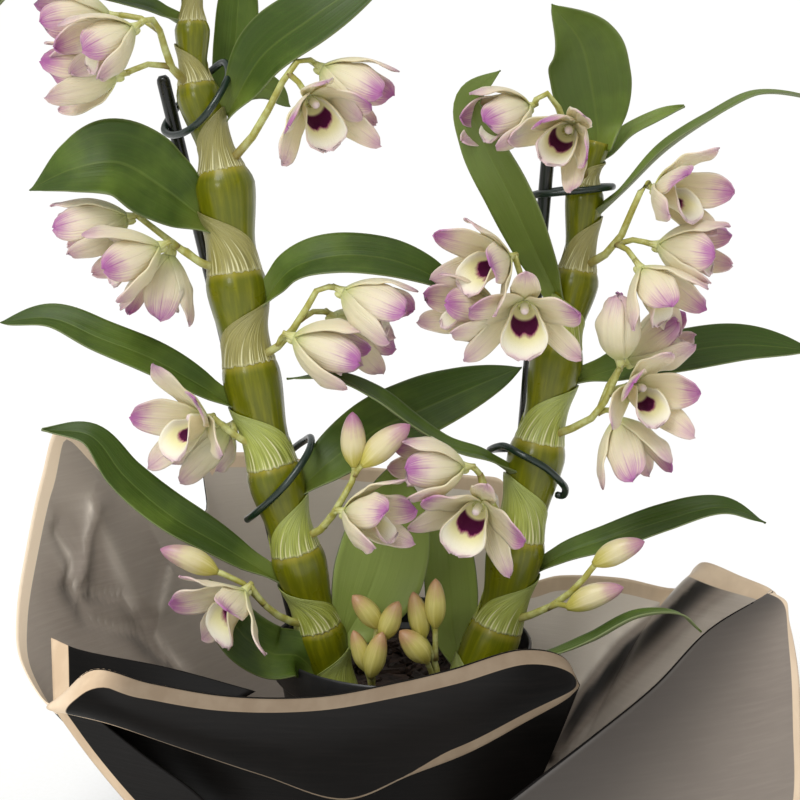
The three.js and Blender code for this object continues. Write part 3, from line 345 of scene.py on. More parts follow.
# What counts as unprinted paper, where 1 is the border's inner line and 0 the edge of the sheet.
BARE = 2.0
# The least share of the way down from a steep edge that counts as the way in from it.
STEEP = 0.2
CUFF_COLUMNS = (0, 9)
CUFF_EDGE = [
    (79, -130, -83), (73.5, -135, -92), (55.5, -145, -101), (30.5, -158.5, -107), (3.5, -169, -110),
    (-25.5, -180, -113), (-63, -169, -109), (-102, -156, -101), (-131.5, -146, -91), (-152, -141, -78),
]
PLAIN_COLUMNS = (17.3, 18.9)
PANEL_COLUMNS = (33, 39)
PANEL_EDGE = [
    (168, -86.5, -10), (173, -95.5, -21), (178, -119, -36), (180, -148.5, -50), (180.5, -180, -62),
    (174.5, -207, -72), (152, -227, -80),
]
CORNER_OUTER = [(-157.5, -137, -66), (-140.5, -160.5, -64), (-123.5, -181, -62), (-102, -203, -58)]
CORNER_INNER = [(-143, -138, -78), (-118, -158, -84), (-91, -178, -86), (-72, -200, -80)]
FLAP_TOP = [(-158, -107, -47), (-146, -112, -56), (-104.5, -120.5, -76), (-66, -131, -88)]
FLAP_FOOT = [(-157, -136, -60), (-142, -136, -72), (-112, -138, -86), (-84, -141, -92)]


# Creases in the left and the right of the wall: how far they stand in or, below 0, out, how wide they are, on
# which side of a left crease the paper gets a painted shade, right being 1 and left -1, and the line of
# sightings that they follow. The left ones also get a painted highlight along their line.
LEFT_HEADINGS = (50, 130)
LEFT_CREASES = (
    (2.5, 3, -1, [(-139.5, -47.7), (-142.5, -62), (-143.5, -74), (-145.4, -84.6)]),
    (-2.5, 2.6, -1, [(-155.3, -57.6), (-147.6, -74.3), (-149.4, -81.5), (-145.4, -84.6)]),
    (-1.6, 3.4, 1, [(-145.4, -84.6), (-136, -87.3), (-126, -88.2), (-115, -102), (-101, -119)]),
    (-1.6, 3.4, 1, [(-149.4, -84.6), (-140.9, -99), (-120, -104), (-107, -116)]),
    (2.5, 6, 0, [(-139.5, -47.7), (-128, -75), (-119, -92)]),
    (1.5, 5, -1, [(-109, -93), (-104.8, -76)]),
)
RIGHT_CREASES = (
    (2.5, 2, 0, [(102, -141.8), (117.7, -131.4), (128, -121), (136.7, -111.5), (141.9, -104.5)]),
)
# The rolled pleat at the back right lies between two lines of sightings and stands out from the first one.
PLEAT_HEADINGS = (200, 312)
PLEAT_START = [
    (59.7, -170), (67.5, -153), (77.9, -132), (96.9, -108), (114.2, -94.1), (122.9, -85.5), (135, -73.4),
]
PLEAT_END = [(60.6, -170.3), (86.5, -149.5), (114.2, -127), (131.5, -109.7), (141.9, -99.4), (162.7, -89)]
PLEAT_RISE = 8


def creases_at(heading):
    """The creases that cross the wall at a heading."""
    if LEFT_HEADINGS[0] <= heading <= LEFT_HEADINGS[1]:
        return LEFT_CREASES
    return RIGHT_CREASES if PLEAT_HEADINGS[0] <= heading <= PLEAT_HEADINGS[1] else ()


def pleat_painted_shading(sight):
    """Painted light and shade round the pleat: painted light before it, painted shade along its foot, painted
    light again on its back and painted shade beyond it.
    """
    first, second = line_gap(sight, PLEAT_START) - 2.5, line_gap(sight, PLEAT_END)
    if first < 0:
        return 1.05 * ease(first, 0, -5) - 0.1
    if second < 0:
        share = first / (first - second)
        return 1.3 * ease(share, 0.18, 0.8) - 0.1 - 0.85 * ease(share, 0, 0.12)
    return 0.35 - 0.9 * ease(second, 0, 3)


def wall_painted_shading(sight, heading):
    """Painted light and shade on the wall's paper at a sighting, lighter above 0 and darker below: lighter
    towards the back right, with a painted highlight along each left crease and a painted shade beside it, and
    round the pleat as the pleat gets it.
    """
    if heading >= PLEAT_HEADINGS[0]:
        return pleat_painted_shading(sight) if heading <= PLEAT_HEADINGS[1] else 0
    tone = 0.2 + 0.75 * ease(heading, 120, PLEAT_HEADINGS[0])
    for _, width, side, line in creases_at(heading):
        gap = line_gap(sight, line)
        tone += 0.25 * math.exp(-((gap / (0.6 * width)) ** 2))
        reach = max(side * gap / width, 0)
        tone -= 0.4 * reach * math.exp(1 - reach)
    return tone


def pleat_rise(sight, heading):
    """How far the pleat stands in at a sighting."""
    low, high = PLEAT_HEADINGS
    first, second = line_gap(sight, PLEAT_START), line_gap(sight, PLEAT_END)
    if not low <= heading <= high or first <= 0 or second >= 0:
        return 0
    return PLEAT_RISE * math.sin(math.pi * (first / (first - second)) ** 0.7)


def cuff_painted_shading(u, v):
    """Painted shade on the cuff's border in front, turning to painted light at its left end; the cuff's paper
    gets none.
    """
    return 0, 1.1 * ease(u, 0.8, 0.97) - 0.62


def panel_painted_shading(u, v):
    """Painted shade on the panel, darkest along its fold, and painted light on its border."""
    return 0.42 * ease(v, 0, 0.8) - 0.74 - 0.08 * u, 0.35


def corner_painted_shading(u, v):
    """Painted light on the border of the corner and of the flap; their paper gets none."""
    return 0, 0.1


def cuff_borders(u):
    """Printed widths along the cuff's fold, wider over its left corner, its edge, and its right end."""
    return 5.2 + 5 * ease(u, 0.84, 0.92), 0.4 + 4.8 * ease(u, 0.47, 0.36), 0


def panel_borders(u):
    """Printed widths of the panel and the corner, which have a border along their edge alone."""
    return 0, 6.2, 0


def flap_borders(u):
    """Printed widths of the flap, which has a border across its end alone."""
    return 0, 0, 10.5


# ------------------------------------------------------------------------------------------------ settings


def linear(code):
    """A colour from its sRGB hex code, as linear red, green, blue and alpha."""
    parts = [int(code[i : i + 2], 16) / 255 for i in (1, 3, 5)]
    return [c / 12.92 if c <= 0.04045 else ((c + 0.055) / 1.055) ** 2.4 for c in parts] + [1.0]


def tint(name, code, description):
    """A colour setting with its default given as an sRGB hex code."""
    return FloatVectorProperty(
        name=name, description=description, size=4, subtype="COLOR", min=0, max=1, default=linear(code))


def size(name, millimetres, description):
    """A length setting with its default given in millimetres."""
    return FloatProperty(
        name=name, description=description, default=millimetres * MM, min=0, unit="LENGTH")


class CaneSettings(bpy.types.PropertyGroup):
    sheath_lift: size("Sheath Lift", 0.5, "How far the papery sheaths stand off the cane")
    sheath_thickness: size("Sheath Thickness", 0.35, "Thickness of a papery sheath")
    groove: size("Groove", 0.14, "Depth of the shallow grooves along a cane")
    flesh: tint("Flesh", "#5f6302", "Colour of the bare cane")
    flesh_light: tint("Light Flesh", "#807f08", "Paler streaks of the bare cane")
    sheath: tint("Green Sheath", "#a3ab45", "Colour of the living sheaths")
    dry: tint("Dry Sheath", "#9a9350", "Colour of the sheaths that have dried")
    streak: tint("Streaks", "#dcd8a8", "Pale fibres in the sheaths")


class LeafSettings(bpy.types.PropertyGroup):
    thickness: size("Thickness", 0.6, "Thickness of a blade")
    channel: FloatProperty(
        name="Channel", description="Rise of a blade's sides over its midrib, as a share of its half width",
        default=0.22, min=0, max=1)
    wave: size("Wave", 0.9, "How far a blade's edges wave")
    upper: tint("Upper Side", "#384b15", "Colour of a blade's upper side")
    upper_light: tint("Light Upper Side", "#536722", "Paler patches of the upper side")
    # The pale colour is partly the palest leaves' own colour and partly painted light for leaves that lie in
    # shade.
    upper_pale_and_painted_light: tint("Pale Upper Side", "#98a856", "Upper side of the palest leaves")
    under: tint("Underside", "#6a7448", "Colour of a blade's underside")


class FlowerSettings(bpy.types.PropertyGroup):
    petal: size("Petal Thickness", 0.7, "Thickness of a petal")
    ruffle: size("Ruffle", 0.6, "How far the lip's edge ruffles")
    cream: tint("Cream", "#ddd2ae", "Colour of the petals' middle")
    base: tint("Base", "#c9cb82", "Greenish colour at a petal's base")
    tip: tint("Tip", "#9c4296", "Colour of the petals' tips")
    eye: tint("Eye", "#4c0236", "Colour of the lip's velvety eye")
    stalk: tint("Stalk", "#a09a44", "Colour of the flower stalks")
    bud: tint("Bud", "#bcb252", "Colour of the young buds")


class PotSettings(bpy.types.PropertyGroup):
    plastic: tint("Pot", "#141516", "Colour of the nursery pot")
    bark: tint("Bark", "#241913", "Colour of the orchid bark")
    chips: IntProperty(name="Chips", description="Number of loose bark chips", default=170, min=0, max=400)
    wire: tint("Wire", "#0a2117", "Colour of the coated clips")
    stake: tint("Stakes", "#0c0f0d", "Colour of the coated stakes")


class PaperSettings(bpy.types.PropertyGroup):
    thickness: size("Thickness", 0.6, "Thickness of the paper")
    border: size("Border", 7.5, "Width of the tan border")
    inside: tint("Inside", "#968a7f", "Colour of the paper's inside")
    outside: tint("Outside", "#0d0c0b", "Colour of the paper's outside")
    edge: tint("Border Colour", "#dcc3a4", "Colour of the printed border")


class StageSettings(bpy.types.PropertyGroup):
    floor: tint("Floor", "#fafaf8", "Colour of the floor")
    width: size("Floor Width", 60000, "Width of the floor")
    key: FloatProperty(name="Key Light", description="Strength of the broad main light", default=1.65, min=0)
    gloss: FloatProperty(
        name="Gloss Light", description="Power of the small front light", default=3, unit="POWER")
    sky: FloatProperty(name="Sky", description="Strength of the light from all round", default=0.62, min=0)


# ------------------------------------------------------------------------------------------------- placing


def place(across, up, back):
    """Where a sighting lies, in metres: across and up in the upright plane through the aim, followed back."""
    cos, sin = math.cos(LIFT), math.sin(LIFT)
    reach = DISTANCE + back * cos
    rise = (up * reach - DISTANCE * back * sin) / (DISTANCE * cos + up * sin)
    depth = reach - rise * sin
    return Vector((across * depth / DISTANCE, back, AIM_HEIGHT + rise)) * MM


def spline(points, t):
    """The point at t, from 0 to 1, of the centripetal Catmull-Rom curve through the points."""
    spans = len(points) - 1
    span = min(max(int(t * spans), 0), spans - 1)
    share = t * spans - span
    a, b = points[span], points[span + 1]
    before = points[span - 1] if span > 0 else 2 * a - b
    after = points[span + 2] if span + 2 <= spans else 2 * b - a
    d0, d1, d2 = (math.sqrt((q - p).length) for p, q in ((before, a), (a, b), (b, after)))
    leave = ((a - before) / d0 - (b - before) / (d0 + d1) + (b - a) / d1) * d1
    arrive = ((b - a) / d1 - (after - a) / (d1 + d2) + (after - b) / d2) * d1
    bend = -3 * a + 3 * b - 2 * leave - arrive
    end = 2 * a - 2 * b + leave + arrive
    return a + leave * share + bend * share**2 + end * share**3


def reading(table, t):
    """The value at t of a smooth curve through (place, value) pairs."""
    places, values = zip(*table)
    last = len(table) - 1
    span = min(max(int(np.searchsorted(places, t)) - 1, 0), last - 1)
    width = places[span + 1] - places[span]
    share = (t - places[span]) / width

    def slope(k):
        low, high = max(k - 1, 0), min(k + 1, last)
        return (values[high] - values[low]) / (places[high] - places[low]) * width

    rise = values[span + 1] - values[span]
    a, b = slope(span), slope(span + 1)
    return values[span] + share * (a + share * (3 * rise - 2 * a - b + share * (a + b - 2 * rise)))


def ease(value, low, high):
    """0 below low, 1 above high, and smooth between."""
    share = min(max((value - low) / (high - low), 0), 1)
    return share * share * (3 - 2 * share)


class Route:
    """A smooth line through points, measured by its length. A closed one comes back to its start."""

    def __init__(self, points, closed=False):
        self.points = points[-1:] + points + points[:2] if closed else points
        spans = len(self.points) - 1
        margin = 1 / spans if closed else 0
        self.shares = np.linspace(margin, 1 - margin, 24 * spans + 1)
        spots = [spline(self.points, t) for t in self.shares]
        steps = [(b - a).length for a, b in zip(spots, spots[1:])]
        self.lengths = np.concatenate([[0], np.cumsum(steps)])
        self.length = float(self.lengths[-1])

    def at(self, share):
        """The place at a share of the way along."""
        return spline(self.points, float(np.interp(share * self.length, self.lengths, self.shares)))

    def heading(self, share):
        """The direction in which the line runs there."""
        low, high = max(share - 0.004, 0), min(share + 0.004, 1)
        return (self.at(high) - self.at(low)).normalized()


# ------------------------------------------------------------------------------------------------ modelling


def select(*pieces):
    """Selects only these pieces, with the first one active."""
    bpy.ops.object.select_all(action="DESELECT")
    for piece in pieces:
        piece.select_set(True)
    bpy.context.view_layer.objects.active = pieces[0]


def patch(name, columns, rows, surface, finishes, chart=None):
    """A primitive grid moved on to surface(u, v). Its UV map keeps u and v, or takes chart(u, v)."""
    bpy.ops.object.select_all(action="DESELECT")
    bpy.ops.mesh.primitive_grid_add(x_subdivisions=columns, y_subdivisions=rows, size=1)
    piece = bpy.context.object
    piece.name = name
    mesh = piece.data
    spots = [(vertex.co.x + 0.5, vertex.co.y + 0.5) for vertex in mesh.vertices]
    mesh.vertices.foreach_set("co", [c for spot in spots for c in surface(*spot)])
    if chart:
        corners = mesh.uv_layers.active.data
        for loop in mesh.loops:
            corners[loop.index].uv = chart(*spots[loop.vertex_index])
    return smooth(piece, finishes)


def smooth(piece, finishes):
    """Shades a piece smooth and gives it its finishes."""
    piece.data.shade_smooth()
    for material in finishes:
        piece.data.materials.append(material)
    return piece


def paint(piece, name, values):
    """Stores a value on each corner of a piece, for its material to read."""
    layer = piece.data.attributes.new(name, "FLOAT", "POINT")
    layer.data.foreach_set("value", values)


def tube(name, route, stations, sides, skin, dent=None):
    """A closed skin round a route, with a station for each ring: its share of the route, and its radius."""
    last = len(stations) - 1
    side = Vector((0, 0, 1)) if abs(route.heading(0).x) > 0.9 else Vector((1, 0, 0))
    rings = []
    for share, radius in stations:
        ahead = route.heading(share)
        side = (side - ahead * side.dot(ahead)).normalized()
        rings.append((route.at(share), side.copy(), ahead.cross(side), radius * MM))

    def surface(u, v):
        centre, right, up, radius = rings[round(v * last)]
        angle = TURN * u
        if dent:
            radius *= dent(angle, stations[round(v * last)][0])
        return centre + (right * math.cos(angle) + up * math.sin(angle)) * radius

    return patch(name, sides, last, surface, [skin], lambda u, v: (u, stations[round(v * last)][0]))


def joined(name, pieces):
    """One piece made of several."""
    select(*pieces)
    if len(pieces) > 1:
        bpy.ops.object.join()
    piece = bpy.context.object
    piece.name = name
    piece.data.name = name
    return piece


def close(piece):
    """Welds the seams and poles of closed skins, and turns their faces outwards."""
    select(piece)
    bpy.ops.object.mode_set(mode="EDIT")
    bpy.ops.mesh.select_all(action="SELECT")
    bpy.ops.mesh.remove_doubles(threshold=0.000004)
    bpy.ops.mesh.normals_make_consistent(inside=False)
    bpy.ops.object.mode_set(mode="OBJECT")
    return piece


def modify(piece, kind, **settings):
    """Gives a piece a modifier and applies it."""
    select(piece)
    modifier = piece.modifiers.new(kind.title(), kind)
    for key, value in settings.items():
        setattr(modifier, key, value)
    bpy.ops.object.modifier_apply(modifier=modifier.name)
    return piece


def thicken(piece, thickness):
    """Gives a sheet its thickness away from its face. The back takes the next finish in the piece's list."""
    return modify(
        piece, "SOLIDIFY", thickness=thickness, offset=-1, material_offset=1, material_offset_rim=1,
        use_even_offset=False)


def settle(piece, slot, *nodes):
    """Makes a finished piece part of the plant, in place of its frame nodes."""
    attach(piece, BODY)
    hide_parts(*nodes)
    return piece


# ------------------------------------------------------------------------------------------------ materials


class Signal:
    """A node's output that adds, multiplies and so on like a number, with a Math node for each step."""

    def __init__(self, socket):
        self.socket = socket

    def sum(self, operation, *others):
        """What a Math node makes of this signal and others, each a signal or a number."""
        values = dict(enumerate((self, *others)))
        return add_node(self.socket.id_data, "ShaderNodeMath", values, operation=operation)

    def __add__(self, other):
        return self.sum("ADD", other)

    def __sub__(self, other):
        return self.sum("SUBTRACT", other)

    def __mul__(self, other):
        return self.sum("MULTIPLY", other)

    def __truediv__(self, other):
        return self.sum("DIVIDE", other)

    def __pow__(self, other):
        return self.sum("POWER", other)

    def __abs__(self):
        return self.sum("ABSOLUTE")


def feed(node, values):
    """Sets a node's sockets, each to a value or from a signal."""
    for key, value in values.items():
        if isinstance(value, Signal):
            node.id_data.links.new(value.socket, node.inputs[key])
        else:
            node.inputs[key].default_value = value


def add_node(tree, kind, values=None, output=0, **settings):
    """Adds a node with its properties and its sockets' values, and gives one of its outputs."""
    node = tree.nodes.new(kind)
    for key, value in settings.items():
        setattr(node, key, value)
    feed(node, values or {})
    return Signal(node.outputs[output])


def blend(share, first, second):
    """The colour that runs from first to second as share runs from 0 to 1."""
    return add_node(
        share.socket.id_data, "ShaderNodeMix", {0: share, 6: first, 7: second}, output=2, data_type="RGBA")


def band(value, low, high, start=0.0, end=1.0, kind="SMOOTHSTEP"):
    """A rise from start to end while value runs from low to high."""
    return add_node(
        value.socket.id_data, "ShaderNodeMapRange", {0: value, 1: low, 2: high, 3: start, 4: end},
        interpolation_type=kind)


def chart_of(tree):
    """The across and along values of a piece's own UV map, and the map itself."""
    chart = add_node(tree, "ShaderNodeUVMap", uv_map="UVMap")
    across = add_node(tree, "ShaderNodeSeparateXYZ", {0: chart})
    return across, Signal(across.socket.node.outputs[1]), chart


def spot_of(tree):
    """Where a place lies in its piece."""
    return add_node(tree, "ShaderNodeTexCoord", output="Object")


def painted(tree, name):
    """A value that was painted on a piece."""
    return add_node(tree, "ShaderNodeAttribute", output="Fac", attribute_name=name)


def grain(vector, scale, stretch=(1, 1, 1), detail=3.0, roughness=0.55):
    """Noise on a vector that is stretched first."""
    tree = vector.socket.id_data
    laid = add_node(tree, "ShaderNodeMapping", {0: vector, 3: stretch})
    values = {"Vector": laid, "Scale": scale, "Detail": detail, "Roughness": roughness}
    return add_node(tree, "ShaderNodeTexNoise", values)


def relief(height, distance, strength=1.0):
    """A bump whose full height is distance, in metres."""
    values = {"Strength": strength, "Distance": distance, "Height": height}
    return add_node(height.socket.id_data, "ShaderNodeBump", values)


def flesh(weight, radius, scale):
    """The sockets for light that scatters under a skin."""
    return {"Subsurface Weight": weight, "Subsurface Radius": radius, "Subsurface Scale": scale}


def finish(name, build, *choices):
    """A material, made once, whose Principled shader takes the values that build gives."""
    found = bpy.data.materials.get(name)
    if found:
        return found
    material = bpy.data.materials.new(name)
    material.use_nodes = True
    feed(material.node_tree.nodes["Principled BSDF"], build(material.node_tree, *choices))
    return material


def cane_flesh(tree):
    """Living cane: a smooth waxy skin, olive, with fine lengthwise streaks and a brown line at each ring."""
    settings = bpy.context.scene.orchid_cane
    _, along, chart = chart_of(tree)
    streaks = grain(chart, 1, (34, 1.6, 1))
    clouds = grain(chart, 1, (5, 3.4, 1))
    mixed = blend(band(streaks, 0.38, 0.72, 0, 0.7), settings.flesh, settings.flesh_light)
    shade = blend(band(clouds, 0.4, 0.72, 0, 0.45), mixed, linear("#56600a"))
    share = along.sum("FRACT")
    ring = band(share, 0.9, 1.0).sum("MAXIMUM", band(share, 0.05, 0.0))
    return {
        "Base Color": blend(ring * 0.55, shade, linear("#a89a35")),
        "Roughness": band(clouds, 0.3, 0.7, 0.26, 0.4),
        "Normal": relief(streaks + grain(chart, 1, (90, 60, 1)) * 0.15, 0.00025, 0.6),
        "Specular IOR Level": 0.3, "Coat Weight": 0.22, "Coat Roughness": 0.12,
        **flesh(0.08, (0.6, 0.8, 0.2), 0.004),
    }


def sheath_paper(tree, dry):
    """Leaf sheath: a thin film over the cane, green while it lives and straw-coloured once it has dried.

    Whitish fibres about a millimetre apart start ragged at the ring and run out upwards.
    """
    settings = bpy.context.scene.orchid_cane
    sheath = settings.dry if dry else settings.sheath
    shaded, upper, pale, dark = (
        map(linear, ("#8b8446", "#9a965c", "#b5ae78", "#6f6a34") if dry else
            ("#8c9438", "#9fac62", "#c9d290", "#5c6119")))
    _, along, chart = chart_of(tree)
    fibres = grain(chart, 1, (74, 0.8, 1), 1.0, 0.4)
    broad = grain(chart, 1, (22, 1.1, 1), 2.0)
    fine = grain(chart, 1, (190, 2.5, 1), 2.0)
    needed = band(along, 0.02, 0.62, 0.5, 0.74, "LINEAR")
    line = band(fibres - needed, 0.0, 0.09)
    colour = blend(band(broad, 0.35, 0.7), sheath, shaded)
    colour = blend(band(along, 0.35, 1.0, 0, 0.7), colour, upper)
    colour = blend(band(fine, 0.42, 0.66, 0, 0.3), colour, pale)
    colour = blend(band(fibres, 0.52, 0.36) * band(along, 0.5, 0.1, 0, 0.6), colour, dark)
    colour = blend(line * 0.85, colour, settings.streak)
    return {
        "Base Color": blend(band(along, 0.07, 0.0) * 0.35, colour, settings.streak),
        "Roughness": band(line, 0, 1, 0.38, 0.3), "Normal": relief(fibres + fine * 0.3, 0.0006, 0.9),
        "Coat Weight": 0.2, "Coat Roughness": 0.2, **flesh(0.1, (0.8, 0.9, 0.4), 0.002),
    }


def leaf_upper(tree):
    """Upper side of a leathery leaf: dark satin green with a pale midrib, fine veins and paler patches."""
    settings = bpy.context.scene.orchid_leaf
    across, along, chart = chart_of(tree)
    patches = grain(spot_of(tree), 26, detail=4.0)
    veins = grain(chart, 1, (22, 0.5, 1))
    middle = abs(across - 0.5)
    rib = band(middle, 0.03, 0.006)
    colour = blend(band(patches, 0.42, 0.68), settings.upper, settings.upper_light)
    # Pale leaves: partly their own paler colour and partly painted light that brightens leaves lying in
    # shade.
    colour = blend(painted(tree, "pale"), colour, settings.upper_pale_and_painted_light)
    colour = blend(band(veins, 0.4, 0.8, 0, 0.12), colour, linear("#6d8038"))
    colour = blend(rib * 0.16, colour, linear("#869648"))
    colour = blend(band(middle, 0.47, 0.5) * 0.4, colour, linear("#8a9160"))
    return {
        "Base Color": blend(band(along, 0.22, 0.0) * 0.65, colour, linear("#7f8c3c")),
        "Roughness": band(patches, 0.3, 0.7, 0.36, 0.5),
        "Normal": relief(veins - rib * 0.5 + patches, 0.0004, 0.6),
        "Specular IOR Level": 0.24, "Coat Weight": 0.05, "Coat Roughness": 0.3,
        **flesh(0.06, (0.3, 0.8, 0.15), 0.003),
    }


def leaf_under(tree):
    """Underside of a leathery leaf: matt grey-green with a raised pale midrib."""
    settings = bpy.context.scene.orchid_leaf
    across, _, chart = chart_of(tree)
    veins = grain(chart, 1, (34, 0.8, 1), 2.0)
    rib = band(abs(across - 0.5), 0.05, 0.012)
    grey = blend(band(veins, 0.4, 0.7, 0, 0.5), settings.under, linear("#868f64"))
    return {
        "Base Color": blend(rib * 0.5, grey, linear("#9aa270")),
        "Roughness": 0.55, "Normal": relief(veins + rib, 0.0005, 0.7), **flesh(0.06, (0.3, 0.8, 0.2), 0.003),
    }


def tepal_skin(tree, tip_from, tip_share, base_share):
    """A face of a sepal or petal: soft, faintly glistening flesh with a fine lengthwise ribbing of veins.

    It is cream that turns greenish to the base and magenta to the tip, where the colour runs down the veins.
    """
    settings = bpy.context.scene.orchid_flower
    across, along, chart = chart_of(tree)
    clouds = grain(spot_of(tree), 110)
    veins = grain(chart, 1, (26, 0.9, 1), 2.0)
    reach = along + (clouds - 0.5) * 0.3 - abs(across - 0.5) * 0.2 + (veins - 0.5) * 0.55
    colour = blend(band(along, 0.36, 0.0) * base_share, settings.cream, settings.base)
    colour = blend(band(reach, tip_from - 0.3, tip_from + 0.2) * 0.4, colour, linear("#dcc0c4"))
    return {
        "Base Color": blend(band(reach, tip_from, tip_from + 0.42) * tip_share, colour, settings.tip),
        "Roughness": 0.48, "Normal": relief(veins, 0.0006, 0.8), "Sheen Weight": 0.15,
        "Sheen Roughness": 0.35, **flesh(0.3, (1.0, 0.75, 0.6), 0.003),
    }


def lip_inner(tree):
    """Inside of the lip: downy, cream-yellow round a velvety two-lobed maroon eye, paler at the margin."""
    settings = bpy.context.scene.orchid_flower
    across, along, chart = chart_of(tree)
    spot = spot_of(tree)
    clouds = grain(spot, 260)
    fuzz = grain(spot, 2600, detail=2.0)
    veins = grain(chart, 1, (34, 1.4, 1), 2.0)
    middle = abs(across - 0.5)
    lobed = along + (clouds + veins * 0.6 - 0.8) * 0.12 + band(middle, 0.08, 0.0) * 0.06
    reach = lobed + (middle / 0.32) ** 3.0 * 0.16
    sides = band(middle, 0.33, 0.28) * band(along, 0.2, 0.28)
    rim = along.sum("MAXIMUM", middle * 1.9)
    colour = blend(band(rim, 0.6, 0.9), linear("#e8e2ac"), linear("#ede7d2"))
    colour = blend(band(along + clouds * 0.1, 0.92, 1.08, 0, 0.6), colour, linear("#d9a3c6"))
    colour = blend(band(reach, 0.66, 0.54) * sides, colour, linear("#8a1c62"))
    return {
        "Base Color": blend(band(reach, 0.565, 0.535) * sides, colour, settings.eye),
        "Roughness": 0.62, "Normal": relief(fuzz + veins, 0.0003, 0.6), "Sheen Weight": 0.02,
        "Sheen Roughness": 0.4, "Specular IOR Level": 0.2, **flesh(0.08, (1.0, 0.8, 0.5), 0.001),
    }


def lip_outer(tree):
    """Outside of the lip: cream, pinkish towards its end, with fine veins."""
    settings = bpy.context.scene.orchid_flower
    _, along, chart = chart_of(tree)
    veins = grain(chart, 1, (30, 1.2, 1), 2.0)
    cream = blend(band(along, 0.35, 0.0), settings.cream, settings.base)
    return {
        "Base Color": blend(band(along, 0.75, 1.02, 0, 0.5), cream, linear("#d9a8cb")),
        "Roughness": 0.5, "Normal": relief(veins, 0.0005, 0.7), "Sheen Weight": 0.1,
        **flesh(0.25, (1.0, 0.8, 0.6), 0.003),
    }


def column_flesh(tree):
    """The column in the throat: smooth white flesh with a faint magenta cap."""
    _, along, _ = chart_of(tree)
    return {
        "Base Color": blend(band(along, 0.8, 1.0, 0, 0.6), linear("#ebe8d2"), linear("#dcbfd2")),
        "Roughness": 0.35, "Coat Weight": 0.2, "Coat Roughness": 0.2, **flesh(0.3, (1.0, 0.9, 0.8), 0.002),
    }


def stalk_skin(tree):
    """Flower stalk: smooth yellow-green skin, browner where it leaves the cane, faintly ribbed."""
    settings = bpy.context.scene.orchid_flower
    _, along, chart = chart_of(tree)
    clouds = grain(spot_of(tree), 190)
    ribs = grain(chart, 1, (16, 2, 1), 2.0)
    green = blend(band(clouds, 0.35, 0.7), settings.stalk, linear("#c3c684"))
    return {
        "Base Color": blend(band(along, 0.36, 0.04) * 0.85, green, linear("#77602c")),
        "Roughness": 0.4, "Normal": relief(ribs, 0.0002, 0.6), "Coat Weight": 0.1,
        **flesh(0.12, (0.8, 1.0, 0.4), 0.002),
    }


def bloom_base(tree):
    """Where the petals meet: smooth flesh that runs from the stalk's green to the petals' cream."""
    settings = bpy.context.scene.orchid_flower
    _, along, chart = chart_of(tree)
    veins = grain(chart, 1, (14, 1.5, 1), 2.0)
    pale = blend(band(along, 0.05, 0.75), settings.stalk, settings.base)
    return {
        "Base Color": blend(band(veins, 0.4, 0.7, 0, 0.5), pale, linear("#e6e4bd")),
        "Roughness": 0.42, "Normal": relief(veins, 0.0003, 0.6), **flesh(0.2, (0.9, 1.0, 0.5), 0.002),
    }


def bud_skin(tree, ripe):
    """A bud: waxy skin with paler seams, cream and magenta when ripe, else yellow-green and browner."""
    settings = bpy.context.scene.orchid_flower
    creamy, tip_from, tip_share, tip = (0.85, 0.5, 0.85, "#9c5088") if ripe else (0.15, 0.52, 0.75, "#a4685c")
    _, along, chart = chart_of(tree)
    clouds = grain(spot_of(tree), 150)
    veins = grain(chart, 1, (26, 1.0, 1), 2.0)
    reach = along + (clouds - 0.5) * 0.3 + (veins - 0.5) * 0.3
    skin = blend(band(veins, 0.4, 0.7, 0, 0.6), settings.bud, linear("#dad27c"))
    cream = blend(band(reach, 0.1, 0.5, 0, creamy), skin, linear("#d2c6a0"))
    return {
        "Base Color": blend(band(reach, tip_from, 1.0) * tip_share, cream, linear(tip)),
        "Roughness": 0.42, "Normal": relief(veins, 0.0004, 0.6), "Coat Weight": 0.1,
        **flesh(0.2, (1.0, 0.9, 0.5), 0.003),
    }


def coated_steel(tree, colour, roughness):
    """Steel coated in glossy plastic: near black, with a slight orange peel from the dip."""
    spot = spot_of(tree)
    scuffs = grain(spot, 90, (1, 1, 0.2), 4.0)
    return {
        "Base Color": blend(band(scuffs, 0.5, 0.75, 0, 0.35), colour, linear("#39463f")),
        "Roughness": band(scuffs, 0.35, 0.7, roughness, roughness + 0.18),
        "Normal": relief(grain(spot, 420, detail=2.0), 0.0002, 0.4),
        "Coat Weight": 0.3, "Coat Roughness": 0.08,
    }


def moulded_plastic(tree):
    """Injection-moulded polypropylene: black, half matt, with a fine grain and dusty scuffs."""
    settings = bpy.context.scene.orchid_pot
    spot = spot_of(tree)
    dust = grain(spot, 34, detail=5.0)
    return {
        "Base Color": blend(band(dust, 0.52, 0.8, 0, 0.35), settings.plastic, linear("#4a4640")),
        "Roughness": band(dust, 0.35, 0.75, 0.34, 0.6),
        "Normal": relief(grain(spot, 1500, detail=2.0), 0.0001, 0.5),
    }


def orchid_bark(tree):
    """Chopped fir bark: dry, matt, layered red-brown with paler cork on its faces."""
    settings = bpy.context.scene.orchid_pot
    spot = spot_of(tree)
    layers = grain(spot, 120, (1, 1, 4), 5.0, 0.65)
    patches = grain(spot, 45)
    brown = blend(band(layers, 0.35, 0.7), settings.bark, linear("#432f24"))
    return {
        "Base Color": blend(band(patches, 0.5, 0.75, 0, 0.7), brown, linear("#2b1b12")),
        "Roughness": 0.88, "Normal": relief(layers, 0.0012, 0.9),
    }


